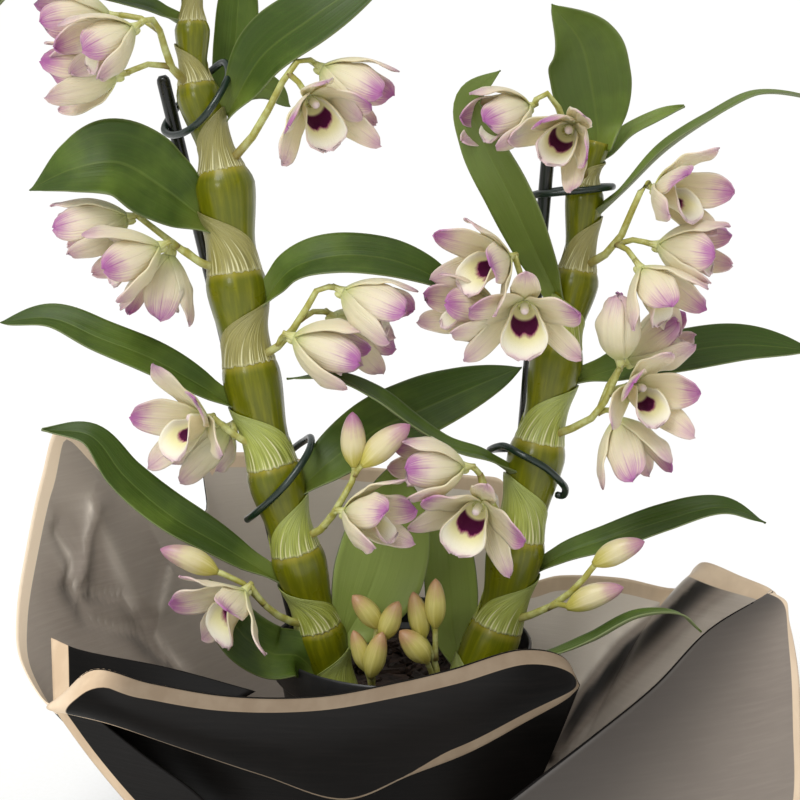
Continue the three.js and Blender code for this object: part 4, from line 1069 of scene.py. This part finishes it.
def printed_paper(tree, face, glow, gloss, takes_painted_shading):
    """Coated wrapping paper: brushed satin, printed in one colour with a plain tan border along its edge.

    Its inside face takes painted light and painted shade along its folds; its border takes painted light and
    shade on both faces.
    """
    settings = bpy.context.scene.orchid_paper
    spot = spot_of(tree)
    clouds = grain(spot, 14, detail=4.0)
    brushed = grain(spot, 45, (1, 1, 16))
    streaks = grain(spot, 30, (3, 3, 1))
    shade = blend(band(clouds, 0.3, 0.75, 0, 0.5), face, glow)
    lit = blend(band(brushed, 0.4, 0.75, 0, 0.35), shade, glow)
    border = band(painted(tree, "edge"), 1.03, 0.97)
    tan = blend(band(streaks, 0.35, 0.65, 0, 0.4), settings.edge, linear("#bb9f80"))
    # Painted light and shade, painted on each corner: above 0 it lightens the paper towards #f3e8da and its
    # border towards #f8e3c8, below 0 it darkens both towards #1f1a16.
    plain = painted(tree, "tone") if takes_painted_shading else linear("#000000")
    tone = blend(border, plain, painted(tree, "edge_tone"))
    bright = blend(border, linear("#f3e8da"), linear("#f8e3c8"))
    light = blend(band(tone, 0, 1), blend(border, lit, tan), bright)
    return {
        "Base Color": blend(band(tone, 0, -1), light, linear("#1f1a16")),
        "Roughness": band(clouds, 0.3, 0.7, 0.42, 0.52),
        "Specular IOR Level": gloss, "Normal": relief(clouds + brushed * 0.3, 0.0006, 0.5),
    }


def floor_paper(tree):
    """The studio's floor: matt white paper, barely mottled."""
    settings = bpy.context.scene.orchid_stage
    pulp = grain(spot_of(tree), 400)
    return {
        "Base Color": blend(band(pulp, 0.3, 0.7), settings.floor, linear("#fcfcfb")),
        "Roughness": 0.9, "Specular IOR Level": 0.1,
    }


# ----------------------------------------------------------------------------------------------------- canes


def cane_ring(cane, span, share):
    """Centre, right, back, ahead and bare radius of a cane at a share of one internode, in metres."""
    points, radii = cane["points"], cane["radii"]
    spans = len(points) - 1
    t = (span + share) / spans
    centre = spline(points, t)
    ahead = (spline(points, min(t + 0.003, 1)) - spline(points, max(t - 0.003, 0))).normalized()
    right = (Vector((1, 0, 0)) - ahead * ahead.x).normalized()
    full = here = radii[span]
    full += (radii[max(span - 1, 0)] - here) * 0.5 * max(0, 1 - share / 0.2)
    full += (radii[min(span + 1, spans - 1)] - here) * 0.5 * max(0, share / 0.15 - 5.67)
    return centre, right, ahead.cross(right), ahead, full * reading(SWELL, share) * MM


def cane_flesh_piece(name, cane, settings):
    """The bare cane: swelling internodes with a fine ridge at each ring and shallow grooves between."""
    spans = len(cane["points"]) - 1
    stations = [(span, share) for span in range(spans) for share in RING_PLACES]
    stations = [(0, 0, 0)] + [(span, share, 1) for span, share in stations] + [
        (spans - 1, 1, 1), (spans - 1, 1, 0.7), (spans - 1, 1, 0)]
    last = len(stations) - 1
    rings = [(*cane_ring(cane, span, share), width) for span, share, width in stations]

    def surface(u, v):
        centre, right, back, ahead, radius, width = rings[round(v * last)]
        share = stations[round(v * last)][1]
        angle = TURN * u
        near_ring = math.exp(-((min(share, 1 - share) / 0.014) ** 2))
        grooves = settings.groove * (1 - near_ring) * math.cos(11 * angle + 3 * math.sin(2 * angle))
        radius = (radius + grooves + RING_RIDGE * MM * near_ring) * width
        return centre + (right * math.cos(angle) + back * math.sin(angle)) * radius

    def chart(u, v):
        span, share, _ = stations[round(v * last)]
        return u, span + share

    return close(patch(name, CANE_SIDES, last, surface, [finish("cane_waxy_skin", cane_flesh)], chart))


def sheath_piece(name, cane, span, settings):
    """A papery sheath: it clasps the ring, and its fibres swing round to the foot of the leaf."""
    lead = math.radians(cane["leaf_side"][span])
    dry = span >= cane["dry_from"]

    def surface(u, v):
        fan = 2 * u - 1
        angle = lead + fan * math.pi * (1 - SHEATH_CLOSING * v**2.1)
        ragged = 0.035 * noise.noise(Vector((u * 46, span, 0))) - 0.012
        share = ragged * (1 - v) + SHEATH_TOP * v
        centre, right, back, ahead, radius = cane_ring(cane, span, max(share, 0))
        lift = settings.sheath_lift + FIBRE_RISE * MM * math.cos(38 * math.pi * fan) * (1 - v)
        lift += RIM_RISE * MM * ease(v, 0.6, 1)
        centre = centre + ahead * min(share, 0) * 40 * MM
        return centre + (right * math.cos(angle) + back * math.sin(angle)) * (radius + lift)

    film = finish("sheath_dry_film" if dry else "sheath_green_film", sheath_paper, dry)
    return thicken(patch(name, SHEATH_COLUMNS, SHEATH_ROWS, surface, [film]), settings.sheath_thickness)


class ORCHID_OT_canes(bpy.types.Operator):
    """Models both canes with the papery sheaths that clasp their internodes"""

    bl_idname = "orchid.canes"
    bl_label = "Canes"

    def execute(self, context):
        settings = context.scene.orchid_cane
        for name, cane in (("cane_left", CANE_LEFT), ("cane_right", CANE_RIGHT)):
            cane = {**cane, "points": [place(*node) for node in cane["nodes"]]}
            settle(cane_flesh_piece(f"{name}_flesh", cane, settings), "cane", name)
            sheaths = [
                sheath_piece(f"{name}_sheath", cane, span, settings) for span in range(len(cane["radii"]))]
            settle(joined(f"{name}_sheaths", sheaths), "cane", name)
        return {"FINISHED"}


# ---------------------------------------------------------------------------------------------------- leaves


def leaf_piece(name, half, face, route, settings):
    """A leaf: a channelled blade along its route, with waving edges and a groove along its midrib."""
    line = Route([place(*point) for point in route])
    outline = POINTED_OUTLINE if name in POINTED else LEAF_OUTLINE
    phase = random.Random(name).uniform(0, TURN)
    rings = []
    for i in range(LEAF_ROWS + 1):
        along = line.heading(i / LEAF_ROWS)
        side = along.cross(Vector(face)).normalized()
        rings.append((line.at(i / LEAF_ROWS), side, side.cross(along)))

    def surface(u, v):
        spine, side, up = rings[round(v * LEAF_ROWS)]
        s = 2 * u - 1
        width = half * reading(outline, v) * MM
        channel = settings.channel + 0.9 * (1 - ease(v, 0, 0.16))
        groove = MIDRIB_DEPTH * MM * math.exp(-((s * width / (MIDRIB_WIDTH * MM)) ** 2)) * ease(v, 1, 0.8)
        lift = channel * width * s * s - groove
        wave = settings.wave * ease(v, 0.1, 0.4) * s * abs(s) * math.sin(9 * v + phase + 1.3 * s)
        return spine + side * s * width + up * (lift + wave)

    faces = [finish("leaf_upper_satin", leaf_upper), finish("leaf_under_matt", leaf_under)]
    piece = patch(name + "_blade", LEAF_COLUMNS, LEAF_ROWS, surface, faces)
    paint(piece, "pale", [PALE_AND_PAINTED_LIGHT.get(name, 0.0)] * len(piece.data.vertices))
    return settle(thicken(piece, settings.thickness), "leaf", name)


class ORCHID_OT_leaves(bpy.types.Operator):
    """Models every leaf as a channelled blade with a groove along its midrib"""

    bl_idname = "orchid.leaves"
    bl_label = "Leaves"

    def execute(self, context):
        for name, (half, face, route) in LEAVES.items():
            leaf_piece(name, half, face, route, context.scene.orchid_leaf)
        return {"FINISHED"}


# ---------------------------------------------------------------------------------------------------- sprays


def axes_of(aim, roll=0):
    """Axes of a bloom or bud: its own axis, and a right and an up square to it, turned by roll."""
    axis = Vector(aim).normalized()
    pole = Vector((0, 1, 0)) if abs(axis.z) > 0.98 else Vector((0, 0, 1))
    right = axis.cross(pole).normalized()
    up = right.cross(axis)
    cos, sin = math.cos(math.radians(roll)), math.sin(math.radians(roll))
    return axis, right * cos + up * sin, up * cos - right * sin


def petal_piece(name, base, axes, kind, az, spread, chance):
    """One petal or sepal: its middle line leaves the axis at the opening angle, and its sides curl round it.

    In a tight bloom, whose spread is below 0, they are broad and the lower sepals close over the lip.
    """
    axis, right, up = axes
    tight = max(-spread, 0)
    if az > 180:
        az += (270 - az) * 1.2 * tight
    rows = PETAL_ROWS
    length = kind["length"] * chance.uniform(0.95, 1.04)
    half = kind["half"] * chance.uniform(0.95, 1.06) * (1 + tight / 2)
    low, high = (a + (b - a) * spread + chance.uniform(-4, 5) for a, b in zip(kind["shut"], kind["open"]))
    recurve = chance.uniform(8, 38) * (0.25 + 0.75 * spread)
    twist = chance.uniform(-0.22, 0.22) * (0.3 + spread)
    phase = chance.uniform(0, TURN)
    middle = []
    out, ahead = kind["start"], 0.0
    for i in range(rows + 1):
        t = i / rows
        angle = math.radians(low + (high - low) * t + recurve * ease(t, 0.65, 1))
        if i:
            out += length / rows * math.sin(angle)
            ahead += length / rows * math.cos(angle)
        middle.append((out, ahead, half * reading(kind["outline"], t)))

    def surface(u, v):
        out, ahead, width = middle[round(v * rows)]
        s = 2 * u - 1
        curl = min(width / out, 1.25)
        turn = math.radians(az) + s * curl
        keel = KEEL * math.exp(-((s / 0.12) ** 2)) * ease(v, 1, 0.7)
        loose = ease(v, 0.15, 0.6)
        out += EDGE_WAVE * abs(s) ** 3 * math.sin(14 * v + 2 * phase) * loose - keel
        ahead += s * width * math.sin(twist * v) + EDGE_CURL * s * s * math.sin(9 * v + phase + s) * loose
        return base + (axis * ahead + (right * math.cos(turn) + up * math.sin(turn)) * out) * MM

    faces = [finish(face, tepal_skin, *shares) for face, *shares in kind["faces"]]
    return patch(name, PETAL_COLUMNS, rows, surface, faces)


def lip_piece(name, base, axes, spread, chance, ruffle):
    """The lip: a tube round the column that opens in a rounded, ruffled limb."""
    axis, right, up = axes
    rows = LIP_ROWS
    phase = chance.uniform(0, TURN)
    middle = []
    out, ahead = LIP_START, 0.0
    for i in range(rows + 1):
        t = i / rows
        angle = math.radians(reading(LIP_SHUT, t) + (reading(LIP_OPEN, t) - reading(LIP_SHUT, t)) * spread)
        if i:
            out += LIP_LENGTH / rows * math.sin(angle)
            ahead += LIP_LENGTH / rows * math.cos(angle)
        wrap = min(reading(LIP_WRAP, t), reading(LIP_HALF, t) / out)
        middle.append((out, ahead, wrap))

    def surface(u, v):
        out, ahead, wrap = middle[round(v * rows)]
        s = 2 * u - 1
        turn = -math.pi / 2 + s * wrap
        rim = max(abs(s) ** 5 * ease(v, 0.25, 0.5), 0.25 * ease(v, 0.8, 1))
        wave = ruffle / MM * rim * math.sin(11 * s + 5 * v + phase)
        fold = 0.14 * rim * math.sin(27 * s + phase)
        outward = right * math.cos(turn) + up * math.sin(turn)
        return base + (axis * (ahead + wave) + outward * (out + fold)) * MM

    faces = [finish("lip_inner_downy", lip_inner), finish("lip_outer", lip_outer)]
    return patch(name, LIP_COLUMNS, rows, surface, faces)


def bloom_pieces(name, at, aim, spread, roll, chance, settings):
    """The sheets and the solid parts of one bloom."""
    base = place(*at)
    axes = axes_of(aim, roll)
    axis, right, up = axes
    sheets = [
        petal_piece(f"{name}_petal", base, axes, kind, az, spread, chance) for kind, az in TEPALS]
    sheets.append(lip_piece(f"{name}_lip", base, axes, spread, chance, settings.ruffle))
    column = Route([base, base + (axis * 4 + up * 1.8) * MM, base + (axis * 9 + up * 2.8) * MM])
    ovary = Route([base - axis * 6 * MM, base - axis * 2 * MM, base + axis * 2 * MM])
    chin = Route([
        base + axis * 2 * MM, base - (axis * 1.2 + up * 1.6) * MM, base - (axis * 3.6 + up * 2.4) * MM])
    solids = [tube(f"{name}_column", column, COLUMN, 12, finish("column_smooth", column_flesh))]
    skin = finish("bloom_base_smooth", bloom_base)
    solids += [tube(f"{name}_ovary", ovary, OVARY, 16, skin), tube(f"{name}_chin", chin, CHIN, 14, skin)]
    return sheets, solids


def bud_piece(name, at, aim, length, radius):
    """One bud. A long one is ripe."""
    base = place(*at)
    axis = axes_of(aim)[0]
    droop = Vector((0, 0, -0.04 * length * MM))
    route = Route([base, base + axis * length * 0.5 * MM - droop, base + axis * length * MM])
    places = [i / BUD_ROWS for i in range(BUD_ROWS + 1)]
    stations = [(0, 0)] + [(share, radius * reading(BUD_SHAPE, share)) for share in places] + [(1, 0)]
    ripe = length >= RIPE
    skin = finish("bud_ripe_waxy" if ripe else "bud_young_waxy", bud_skin, ripe)

    def dent(angle, share):
        seam = math.exp(-((math.sin(1.5 * angle) / 0.16) ** 2))
        return 1 - 0.07 * seam * ease(share, 0.05, 0.3)

    return tube(f"{name}_bud", route, stations, BUD_SIDES, skin, dent)


def seat_of(at, aim, is_bud):
    """Where a flower's pedicel ends: a little way inside the ovary or the bud."""
    return place(*at) + axes_of(aim)[0] * (1.5 if is_bud else -4.5) * MM


def spray_piece(name, stem, blooms, buds, settings):
    """A spray: its stalk runs on into its first flower, and the others hang on arched pedicels."""
    chance = random.Random(name)
    points = [place(*point) for point in stem]
    flowers = [(at, aim, joint, False) for at, aim, _, joint, _ in blooms]
    flowers += [(at, aim, joint, True) for at, aim, _, _, joint in buds]
    first = next(flower for flower in flowers if flower[2] is None)
    stalk = Route(points + [seat_of(first[0], first[1], first[3])])
    skin = finish("stalk_smooth", stalk_skin)
    solids = [tube(f"{name}_stalk", stalk, STALK, 14, skin)]
    for at, aim, joint, is_bud in flowers:
        if (at, aim) == first[:2]:
            continue
        start = points[-1] if joint is None else points[joint + 1]
        end = seat_of(at, aim, is_bud)
        bend = start.lerp(end, 0.5)
        bend.z += (end - start).length * 0.12
        solids.append(tube(f"{name}_pedicel", Route([start, bend, end]), PEDICEL, 12, skin))
    sheets = []
    for at, aim, spread, _, roll in blooms:
        more_sheets, more_solids = bloom_pieces(name, at, aim, spread, roll, chance, settings)
        sheets += more_sheets
        solids += more_solids
    for at, aim, length, radius, _ in buds:
        solids.append(bud_piece(name, at, aim, length, radius))
    stalks = close(joined(f"{name}_stalks", solids))
    if sheets:
        petals = thicken(joined(f"{name}_petals", sheets), settings.petal)
        settle(petals, "bloom", "spray_" + name)
    settle(stalks, "bloom", "spray_" + name)


class ORCHID_OT_sprays(bpy.types.Operator):
    """Models the flower sprays: stalks, half-open blooms with their lips and columns, and buds"""

    bl_idname = "orchid.sprays"
    bl_label = "Flower Sprays"

    def execute(self, context):
        for name, (stem, blooms, buds) in SPRAYS.items():
            spray_piece(name, stem, blooms, buds, context.scene.orchid_flower)
        return {"FINISHED"}


# ------------------------------------------------------------------------------------------ stakes and clips


class ORCHID_OT_supports(bpy.types.Operator):
    """Models the coated stakes and the bent wire clips that hold the canes to them"""

    bl_idname = "orchid.supports"
    bl_label = "Stakes and Clips"

    def execute(self, context):
        settings = context.scene.orchid_pot
        coated = finish("coated_stake", coated_steel, settings.stake, 0.2)
        for name, ends in STAKES.items():
            route = Route([place(*end) for end in ends])
            stations = [(share, wide * STAKE_RADIUS) for share, wide in STAKE]
            settle(close(tube(name + "_rod", route, stations, 32, coated)), "stake", name)
        wire = finish("coated_wire", coated_steel, settings.wire, 0.24)
        for name, (closed, route) in CLIPS.items():
            line = Route([place(*point) for point in route], closed)
            ends = [] if closed else [(0, 0), (0, 0.6 * WIRE_RADIUS), (0.006, 0.9 * WIRE_RADIUS)]
            first, last = (0, WIRE_STEPS) if closed else (1, WIRE_STEPS - 1)
            stations = ends + [(i / WIRE_STEPS, WIRE_RADIUS) for i in range(first, last + 1)]
            stations += [(1 - share, radius) for share, radius in reversed(ends)]
            settle(close(tube(name + "_wire", line, stations, 16, wire)), "wire", name)
        return {"FINISHED"}


# ---------------------------------------------------------------------------------------------- pot and bark


class ORCHID_OT_pot(bpy.types.Operator):
    """Models the nursery pot with its rim, and the bark chips that fill it"""

    bl_idname = "orchid.pot"
    bl_label = "Pot and Bark"

    def execute(self, context):
        settings = context.scene.orchid_pot
        under = POT_HEIGHT - RIM_DEPTH
        outer = [
            (0, POT_FOOT), (34, POT_FOOT), (34.6, POT_FOOT + 1.4), (38, POT_FOOT + 1.4), (38.6, POT_FOOT),
            (POT_BOTTOM - 1, POT_FOOT), (POT_BOTTOM, POT_FOOT + 1), (POT_SHOULDER - 0.4, under - 2),
            (POT_SHOULDER, under), (POT_RIM - 1.2, under), (POT_RIM, under + 1.2), (POT_RIM, POT_HEIGHT - 1),
            (POT_RIM - 0.4, POT_HEIGHT - 0.2), (POT_RIM - 0.9, POT_HEIGHT),
            (POT_RIM - POT_WALL, POT_HEIGHT - 0.8),
            (POT_RIM - POT_WALL - 0.4, under + 2), (POT_SHOULDER - POT_WALL, under),
            (POT_BOTTOM - POT_WALL, POT_FOOT + POT_FLOOR), (0, POT_FOOT + POT_FLOOR),
        ]
        last = len(outer) - 1

        def surface(u, v):
            radius, height = outer[round(v * last)]
            angle = TURN * u
            return Vector((radius * math.cos(angle), radius * math.sin(angle), height)) * MM

        plastic = finish("moulded_polypropylene", moulded_plastic)
        pot = close(patch("pot_moulding", 96, last, surface, [plastic]))
        modify(pot, "BEVEL", width=0.0003, segments=2, limit_method="ANGLE")
        select(pot)
        bpy.ops.object.shade_smooth_by_angle(angle=math.radians(30))
        settle(pot, "pot", "pot")
        settle(self.bark(settings), "bark", "bark")
        return {"FINISHED"}

    def bark(self, settings):
        """A bed of bark with loose chips over it. A few chips are modelled and copied."""
        chance = random.Random(4)
        noise.seed_set(4)  # noise_vector starts from the clock otherwise
        floor = POT_FOOT + POT_FLOOR + 0.4
        skin = finish("fir_bark", orchid_bark)

        def inside(height):
            share = (height - floor) / (POT_HEIGHT - RIM_DEPTH - floor)
            return POT_BOTTOM + (POT_SHOULDER - POT_BOTTOM) * share - POT_WALL - 1

        rows = [(0, floor), (inside(floor), floor), (inside(BARK_TOP), BARK_TOP)]
        rows += [(inside(BARK_TOP) * (1 - i / 16), BARK_TOP) for i in range(1, 17)]
        last = len(rows) - 1

        def surface(u, v):
            radius, height = rows[round(v * last)]
            angle = TURN * u
            spot = Vector((radius * math.cos(angle), radius * math.sin(angle), height))
            if height == BARK_TOP and 0 < radius < inside(BARK_TOP):
                spot.z += 2 * noise.noise(spot * 0.16)
            return spot * MM

        pieces = [patch("bark_bed", 64, last, surface, [skin])]
        samples = []
        for k in range(CHIP_KINDS):
            bpy.ops.mesh.primitive_cube_add(size=1)
            chip = bpy.context.object
            chip.data.materials.append(skin)
            modify(chip, "SUBSURF", subdivision_type="SIMPLE", levels=2, render_levels=2)
            length, width, height = chance.uniform(9, 17), chance.uniform(6, 10), chance.uniform(2.5, 5)
            for vertex in chip.data.vertices:
                x, y, z = vertex.co
                taper = 1 - 0.35 * abs(x) - 0.25 * abs(y)
                jog = noise.noise_vector(vertex.co * 2.3 + Vector((7 * k, 0, 0))) * 1.1
                vertex.co = (Vector((x * length, y * width * taper, z * height * taper)) + jog) * MM
            samples.append(chip)
        for i in range(settings.chips):
            sample = samples[i % CHIP_KINDS]
            copy = bpy.data.objects.new("bark_chip", sample.data.copy())
            bpy.context.collection.objects.link(copy)
            reach = (inside(BARK_TOP) - 6) * math.sqrt(chance.random())
            turn = chance.uniform(0, TURN)
            copy.location = Vector((
                reach * math.cos(turn), reach * math.sin(turn), BARK_TOP + chance.uniform(-1, 3.5))) * MM
            copy.rotation_euler = (chance.gauss(0, 0.35), chance.gauss(0, 0.35), chance.uniform(0, TURN))
            copy.scale = [chance.uniform(0.7, 1.1)] * 3
            pieces.append(copy)
        select(*samples)
        bpy.ops.object.delete()
        select(*pieces)
        bpy.ops.object.transform_apply(location=True, rotation=True, scale=True)
        return close(joined("bark_chips", pieces))


# ----------------------------------------------------------------------------------------------------- wrap


def wall_point(tops, column, share):
    """Middle of the paper wall at a column, at a share of the way from the floor to its top edge."""
    last = len(WALL) - 1
    low = min(int(column), last - 1)
    heading = WALL[low][1] + (WALL[low + 1][1] - WALL[low][1]) * (column - low)
    angle = math.radians(heading)
    outward = Vector((-math.sin(angle), -math.cos(angle), 0))
    lap = LAP * ease(heading, *LAP_HEADINGS)
    foot = (outward * (WRAP_FOOT + lap) + Vector((0, 0, PAPER / 2))) * MM
    bulge = (4 + 8 * math.exp(-(((heading - 85) / 45) ** 2)) + lap) * math.sin(math.pi * share)
    return foot.lerp(spline(tops, column / last), share) + outward * bulge * MM


def sighting(spot):
    """The across and up, in millimetres, at which a place is sighted from in front."""
    x, back, z = (part / MM for part in spot)
    rise = z - AIM_HEIGHT
    depth = DISTANCE + back * math.cos(LIFT) - rise * math.sin(LIFT)
    return x * DISTANCE / depth, DISTANCE * (rise * math.cos(LIFT) + back * math.sin(LIFT)) / depth


def line_gap(spot, line):
    """How far a sighting lies to the right of a line of sightings, in millimetres, or below 0 to its left."""
    gaps = []
    for start, end in zip(line, line[1:]):
        run, away = np.subtract(end, start), np.subtract(spot, start)
        share = np.clip(np.dot(away, run) / np.dot(run, run), 0, 1)
        side = away[0] * run[1] - away[1] * run[0]
        gaps.append(math.copysign(float(np.hypot(*(away - run * share))), side))
    return min(gaps, key=abs)


def edge_gap(reach, start, end, before, after):
    """How far into the sheet a point lies from its edge, from its reach along the column start to end."""
    column, edge = end - start, after - before
    return reach * column.cross(edge).length / max(edge.length * column.length, 1e-9)


class ORCHID_OT_wrap(bpy.types.Operator):
    """Models the folded paper: its wall, the turned-down cuff and panel, the corner and the flap"""

    bl_idname = "orchid.wrap"
    bl_label = "Paper Wrap"

    def execute(self, context):
        settings = context.scene.orchid_paper
        taupe = finish("paper_inside_satin", printed_paper, settings.inside, linear("#ab9f92"), 0.5, True)
        black = finish("paper_outside_satin", printed_paper, settings.outside, linear("#1b1816"), 0.07, False)
        tops = [place(*top) for top, _ in WALL]
        corner, flap = ([place(*point) for point in line] for line in (CORNER_INNER, FLAP_FOOT))
        cuff, panel = (tops[low : high + 1] for low, high in (CUFF_COLUMNS, PANEL_COLUMNS))
        inside_up, outside_up = [taupe, black], [black, taupe]
        pieces = [
            self.wall(tops, inside_up),
            self.base(inside_up),
            self.turned("wrap_cuff", cuff, CUFF_EDGE, CUFF_BOW, outside_up, cuff_borders, cuff_painted_shading),
            self.turned("wrap_panel", panel, PANEL_EDGE, PANEL_BOW, inside_up, panel_borders, panel_painted_shading),
            self.turned("wrap_corner", corner, CORNER_OUTER, 0, inside_up, panel_borders, corner_painted_shading),
            self.turned("wrap_flap", flap, FLAP_TOP, 0, outside_up, flap_borders, corner_painted_shading),
        ]
        settle(thicken(joined("wrap_paper", pieces), settings.thickness), "paper", "wrap")
        return {"FINISHED"}

    def base(self, finishes):
        """The flat bottom of the paper, out to the foot of the wall."""
        bpy.ops.object.select_all(action="DESELECT")
        bpy.ops.mesh.primitive_circle_add(vertices=120, radius=1, fill_type="TRIFAN")
        piece = bpy.context.object
        piece.name = "wrap_base"
        for vertex in piece.data.vertices:
            heading = math.degrees(math.atan2(-vertex.co.x, -vertex.co.y)) % 360
            lap = LAP * ease(heading, *LAP_HEADINGS) * ease(heading, 356, 350)
            vertex.co = (vertex.co * (WRAP_FOOT + lap) + Vector((0, 0, PAPER / 2))) * MM
        self.print_on(smooth(piece, finishes), [(BARE, 0, 0)] * len(piece.data.vertices))
        return piece

    def print_on(self, piece, prints):
        """Paints each corner's place in the border, and the painted light and shade of its paper and of its
        border.
        """
        for name, values in zip(("edge", "tone", "edge_tone"), zip(*prints)):
            paint(piece, name, values)

    def wall(self, tops, finishes):
        """The wall of the paper, creased where it was folded. Its top is a printed edge between the folds."""
        last = len(WALL) - 1
        prints = []
        border_width = bpy.context.scene.orchid_paper.border

        def flat(u, v):
            return wall_point(tops, u * last, v)

        def surface(u, v):
            spot = flat(u, v)
            sight = sighting(spot)
            heading = np.interp(u * last, range(last + 1), [turn for _, turn in WALL])
            inward = Vector((math.sin(math.radians(heading)), math.cos(math.radians(heading)), 0))
            fade = ease(v, 1, 0.94) * ease(v, 0.02, 0.2)
            rise = pleat_rise(sight, heading)
            for height, width, _, line in creases_at(heading):
                near = abs(line_gap(sight, line)) / width
                rise += height * math.exp(-near) if height > 0 else height * math.exp(-near * near)
            spot += inward * rise * fade * MM
            low, high = CUFF_COLUMNS[1], PANEL_COLUMNS[0]
            plain = PLAIN_COLUMNS[0] < u * last < PLAIN_COLUMNS[1]
            tan = BARE
            if low < u * last < high and not plain:
                before, after = flat(u - 0.003, 1), flat(u + 0.003, 1)
                start, end = flat(u, 0), flat(u, 1)
                reach = (1 - v) * (end - start).length
                tan = max(edge_gap(reach, start, end, before, after), STEEP * reach) / border_width
            # Painted light and shade on the paper at this sighting, fading out at the foot, and a painted
            # light on the border that is stronger on the left.
            tone = wall_painted_shading(sighting(spot), heading) * ease(v, 0, 0.2)
            prints.append((tan, tone, 0.3 + 0.5 * ease(heading, 140, 100)))
            return spot

        piece = patch("wrap_wall", last * WALL_COLUMNS, WALL_ROWS, surface, finishes)
        self.print_on(piece, prints)
        return piece

    def turned(self, name, inner, outer, bow, finishes, borders, tone):
        """A turned-down piece of the sheet between two edges, bowed outward between them.

        borders gives the printed widths along the inner and the outer edge and across the first end, in
        millimetres, and the last argument the painted light and shade of the paper and of its border.
        """
        outer = [place(*point) for point in outer]
        columns, rows = TURNED_COLUMNS * (len(inner) - 1), TURNED_ROWS

        def surface(u, v):
            middle = spline(inner, u).lerp(spline(outer, u), v)
            away = Vector((middle.x, middle.y, 0)).normalized()
            return middle + away * bow * MM * math.sin(math.pi * v) * ease(u, 0, 0.14)

        prints = []
        for u, v in ((i / columns, j / rows) for j in range(rows + 1) for i in range(columns + 1)):
            start, end = surface(u, 0), surface(u, 1)
            low, high = max(u - 0.01, 0), min(u + 0.01, 1)
            span = (end - start).length
            gaps = (
                edge_gap(v * span, start, end, surface(low, 0), surface(high, 0)),
                edge_gap((1 - v) * span, start, end, surface(low, 1), surface(high, 1)),
                (surface(u, v) - surface(0, v)).length,
            )
            tan = min([BARE] + [gap / (width * MM) for gap, width in zip(gaps, borders(u)) if width > 0])
            prints.append((tan, *tone(u, v)))
        piece = patch(name, columns, rows, surface, finishes)
        self.print_on(piece, prints)
        return piece


# ---------------------------------------------------------------------------------------------------- stage


class ORCHID_OT_stage(bpy.types.Operator):
    """Sets the pale floor, the soft studio lights and the camera"""

    bl_idname = "orchid.stage"
    bl_label = "Stage"

    def execute(self, context):
        settings = context.scene.orchid_stage
        bpy.ops.mesh.primitive_plane_add(size=settings.width)
        floor = bpy.context.object
        floor.name = "stage_floor"
        floor.data.materials.append(finish("studio_floor_paper", floor_paper))
        world = bpy.data.worlds.new("studio")
        context.scene.world = world
        world.use_nodes = True
        background = world.node_tree.nodes["Background"]
        background.inputs["Color"].default_value = linear("#ffffff")
        background.inputs["Strength"].default_value = settings.sky
        aim = place(0, 0, 0)
        for name, (kind, spot, breadth, value) in LIGHTS.items():
            bpy.ops.object.light_add(type=kind, location=spot)
            light = bpy.context.object
            light.name = "studio_" + name
            light.data.energy = getattr(settings, name)
            setattr(light.data, breadth, value)
            light.rotation_euler = (aim - Vector(spot)).to_track_quat("-Z", "Y").to_euler()
        offset = Vector((-CAMERA_SHIFT, -DISTANCE * math.cos(LIFT), DISTANCE * math.sin(LIFT))) * MM
        bpy.ops.object.camera_add(location=aim + offset, rotation=(math.pi / 2 - LIFT, 0, 0))
        camera = bpy.context.object
        camera.name = "studio_camera"
        camera.data.sensor_width = SENSOR_WIDTH
        camera.data.lens = SENSOR_WIDTH * DISTANCE / VIEW_WIDTH
        context.scene.camera = camera
        context.scene.view_settings.view_transform = "Standard"
        return {"FINISHED"}


# ---------------------------------------------------------------------------------------------------- add-on


class ORCHID_PT_panel(bpy.types.Panel):
    """Lists the orchid's settings and the pieces that they build"""

    bl_idname = "ORCHID_PT_panel"
    bl_label = "Dendrobium Orchid"
    bl_space_type = "VIEW_3D"
    bl_region_type = "UI"
    bl_category = "Orchid"

    def draw(self, context):
        for group, operators in SECTIONS.items():
            box = self.layout.box()
            settings = getattr(context.scene, group)
            for key in settings.bl_rna.properties.keys():
                if key not in ("rna_type", "name"):
                    box.prop(settings, key)
            for operator in operators:
                box.operator(operator)


GROUPS = {
    "orchid_cane": CaneSettings,
    "orchid_leaf": LeafSettings,
    "orchid_flower": FlowerSettings,
    "orchid_pot": PotSettings,
    "orchid_paper": PaperSettings,
    "orchid_stage": StageSettings,
}
SECTIONS = {
    "orchid_stage": ["orchid.stage"],
    "orchid_pot": ["orchid.pot", "orchid.supports"],
    "orchid_cane": ["orchid.canes"],
    "orchid_leaf": ["orchid.leaves"],
    "orchid_flower": ["orchid.sprays"],
    "orchid_paper": ["orchid.wrap"],
}
CLASSES = (
    *GROUPS.values(), ORCHID_OT_stage, ORCHID_OT_pot, ORCHID_OT_supports, ORCHID_OT_canes, ORCHID_OT_leaves,
    ORCHID_OT_sprays, ORCHID_OT_wrap, ORCHID_PT_panel,
)


def register():
    """Registers the add-on, with its settings in the scene."""
    for cls in CLASSES:
        bpy.utils.register_class(cls)
    for name, group in GROUPS.items():
        setattr(bpy.types.Scene, name, PointerProperty(type=group))


def unregister():
    """Takes the add-on and its settings out again."""
    for name in GROUPS:
        delattr(bpy.types.Scene, name)
    for cls in reversed(CLASSES):
        bpy.utils.unregister_class(cls)


def main():
    """Builds the stage and every piece."""
    register()
    bpy.ops.orchid.stage()
    bpy.ops.orchid.pot()
    bpy.ops.orchid.supports()
    bpy.ops.orchid.canes()
    bpy.ops.orchid.leaves()
    bpy.ops.orchid.sprays()
    bpy.ops.orchid.wrap()


if __name__ == "__main__":
    main()
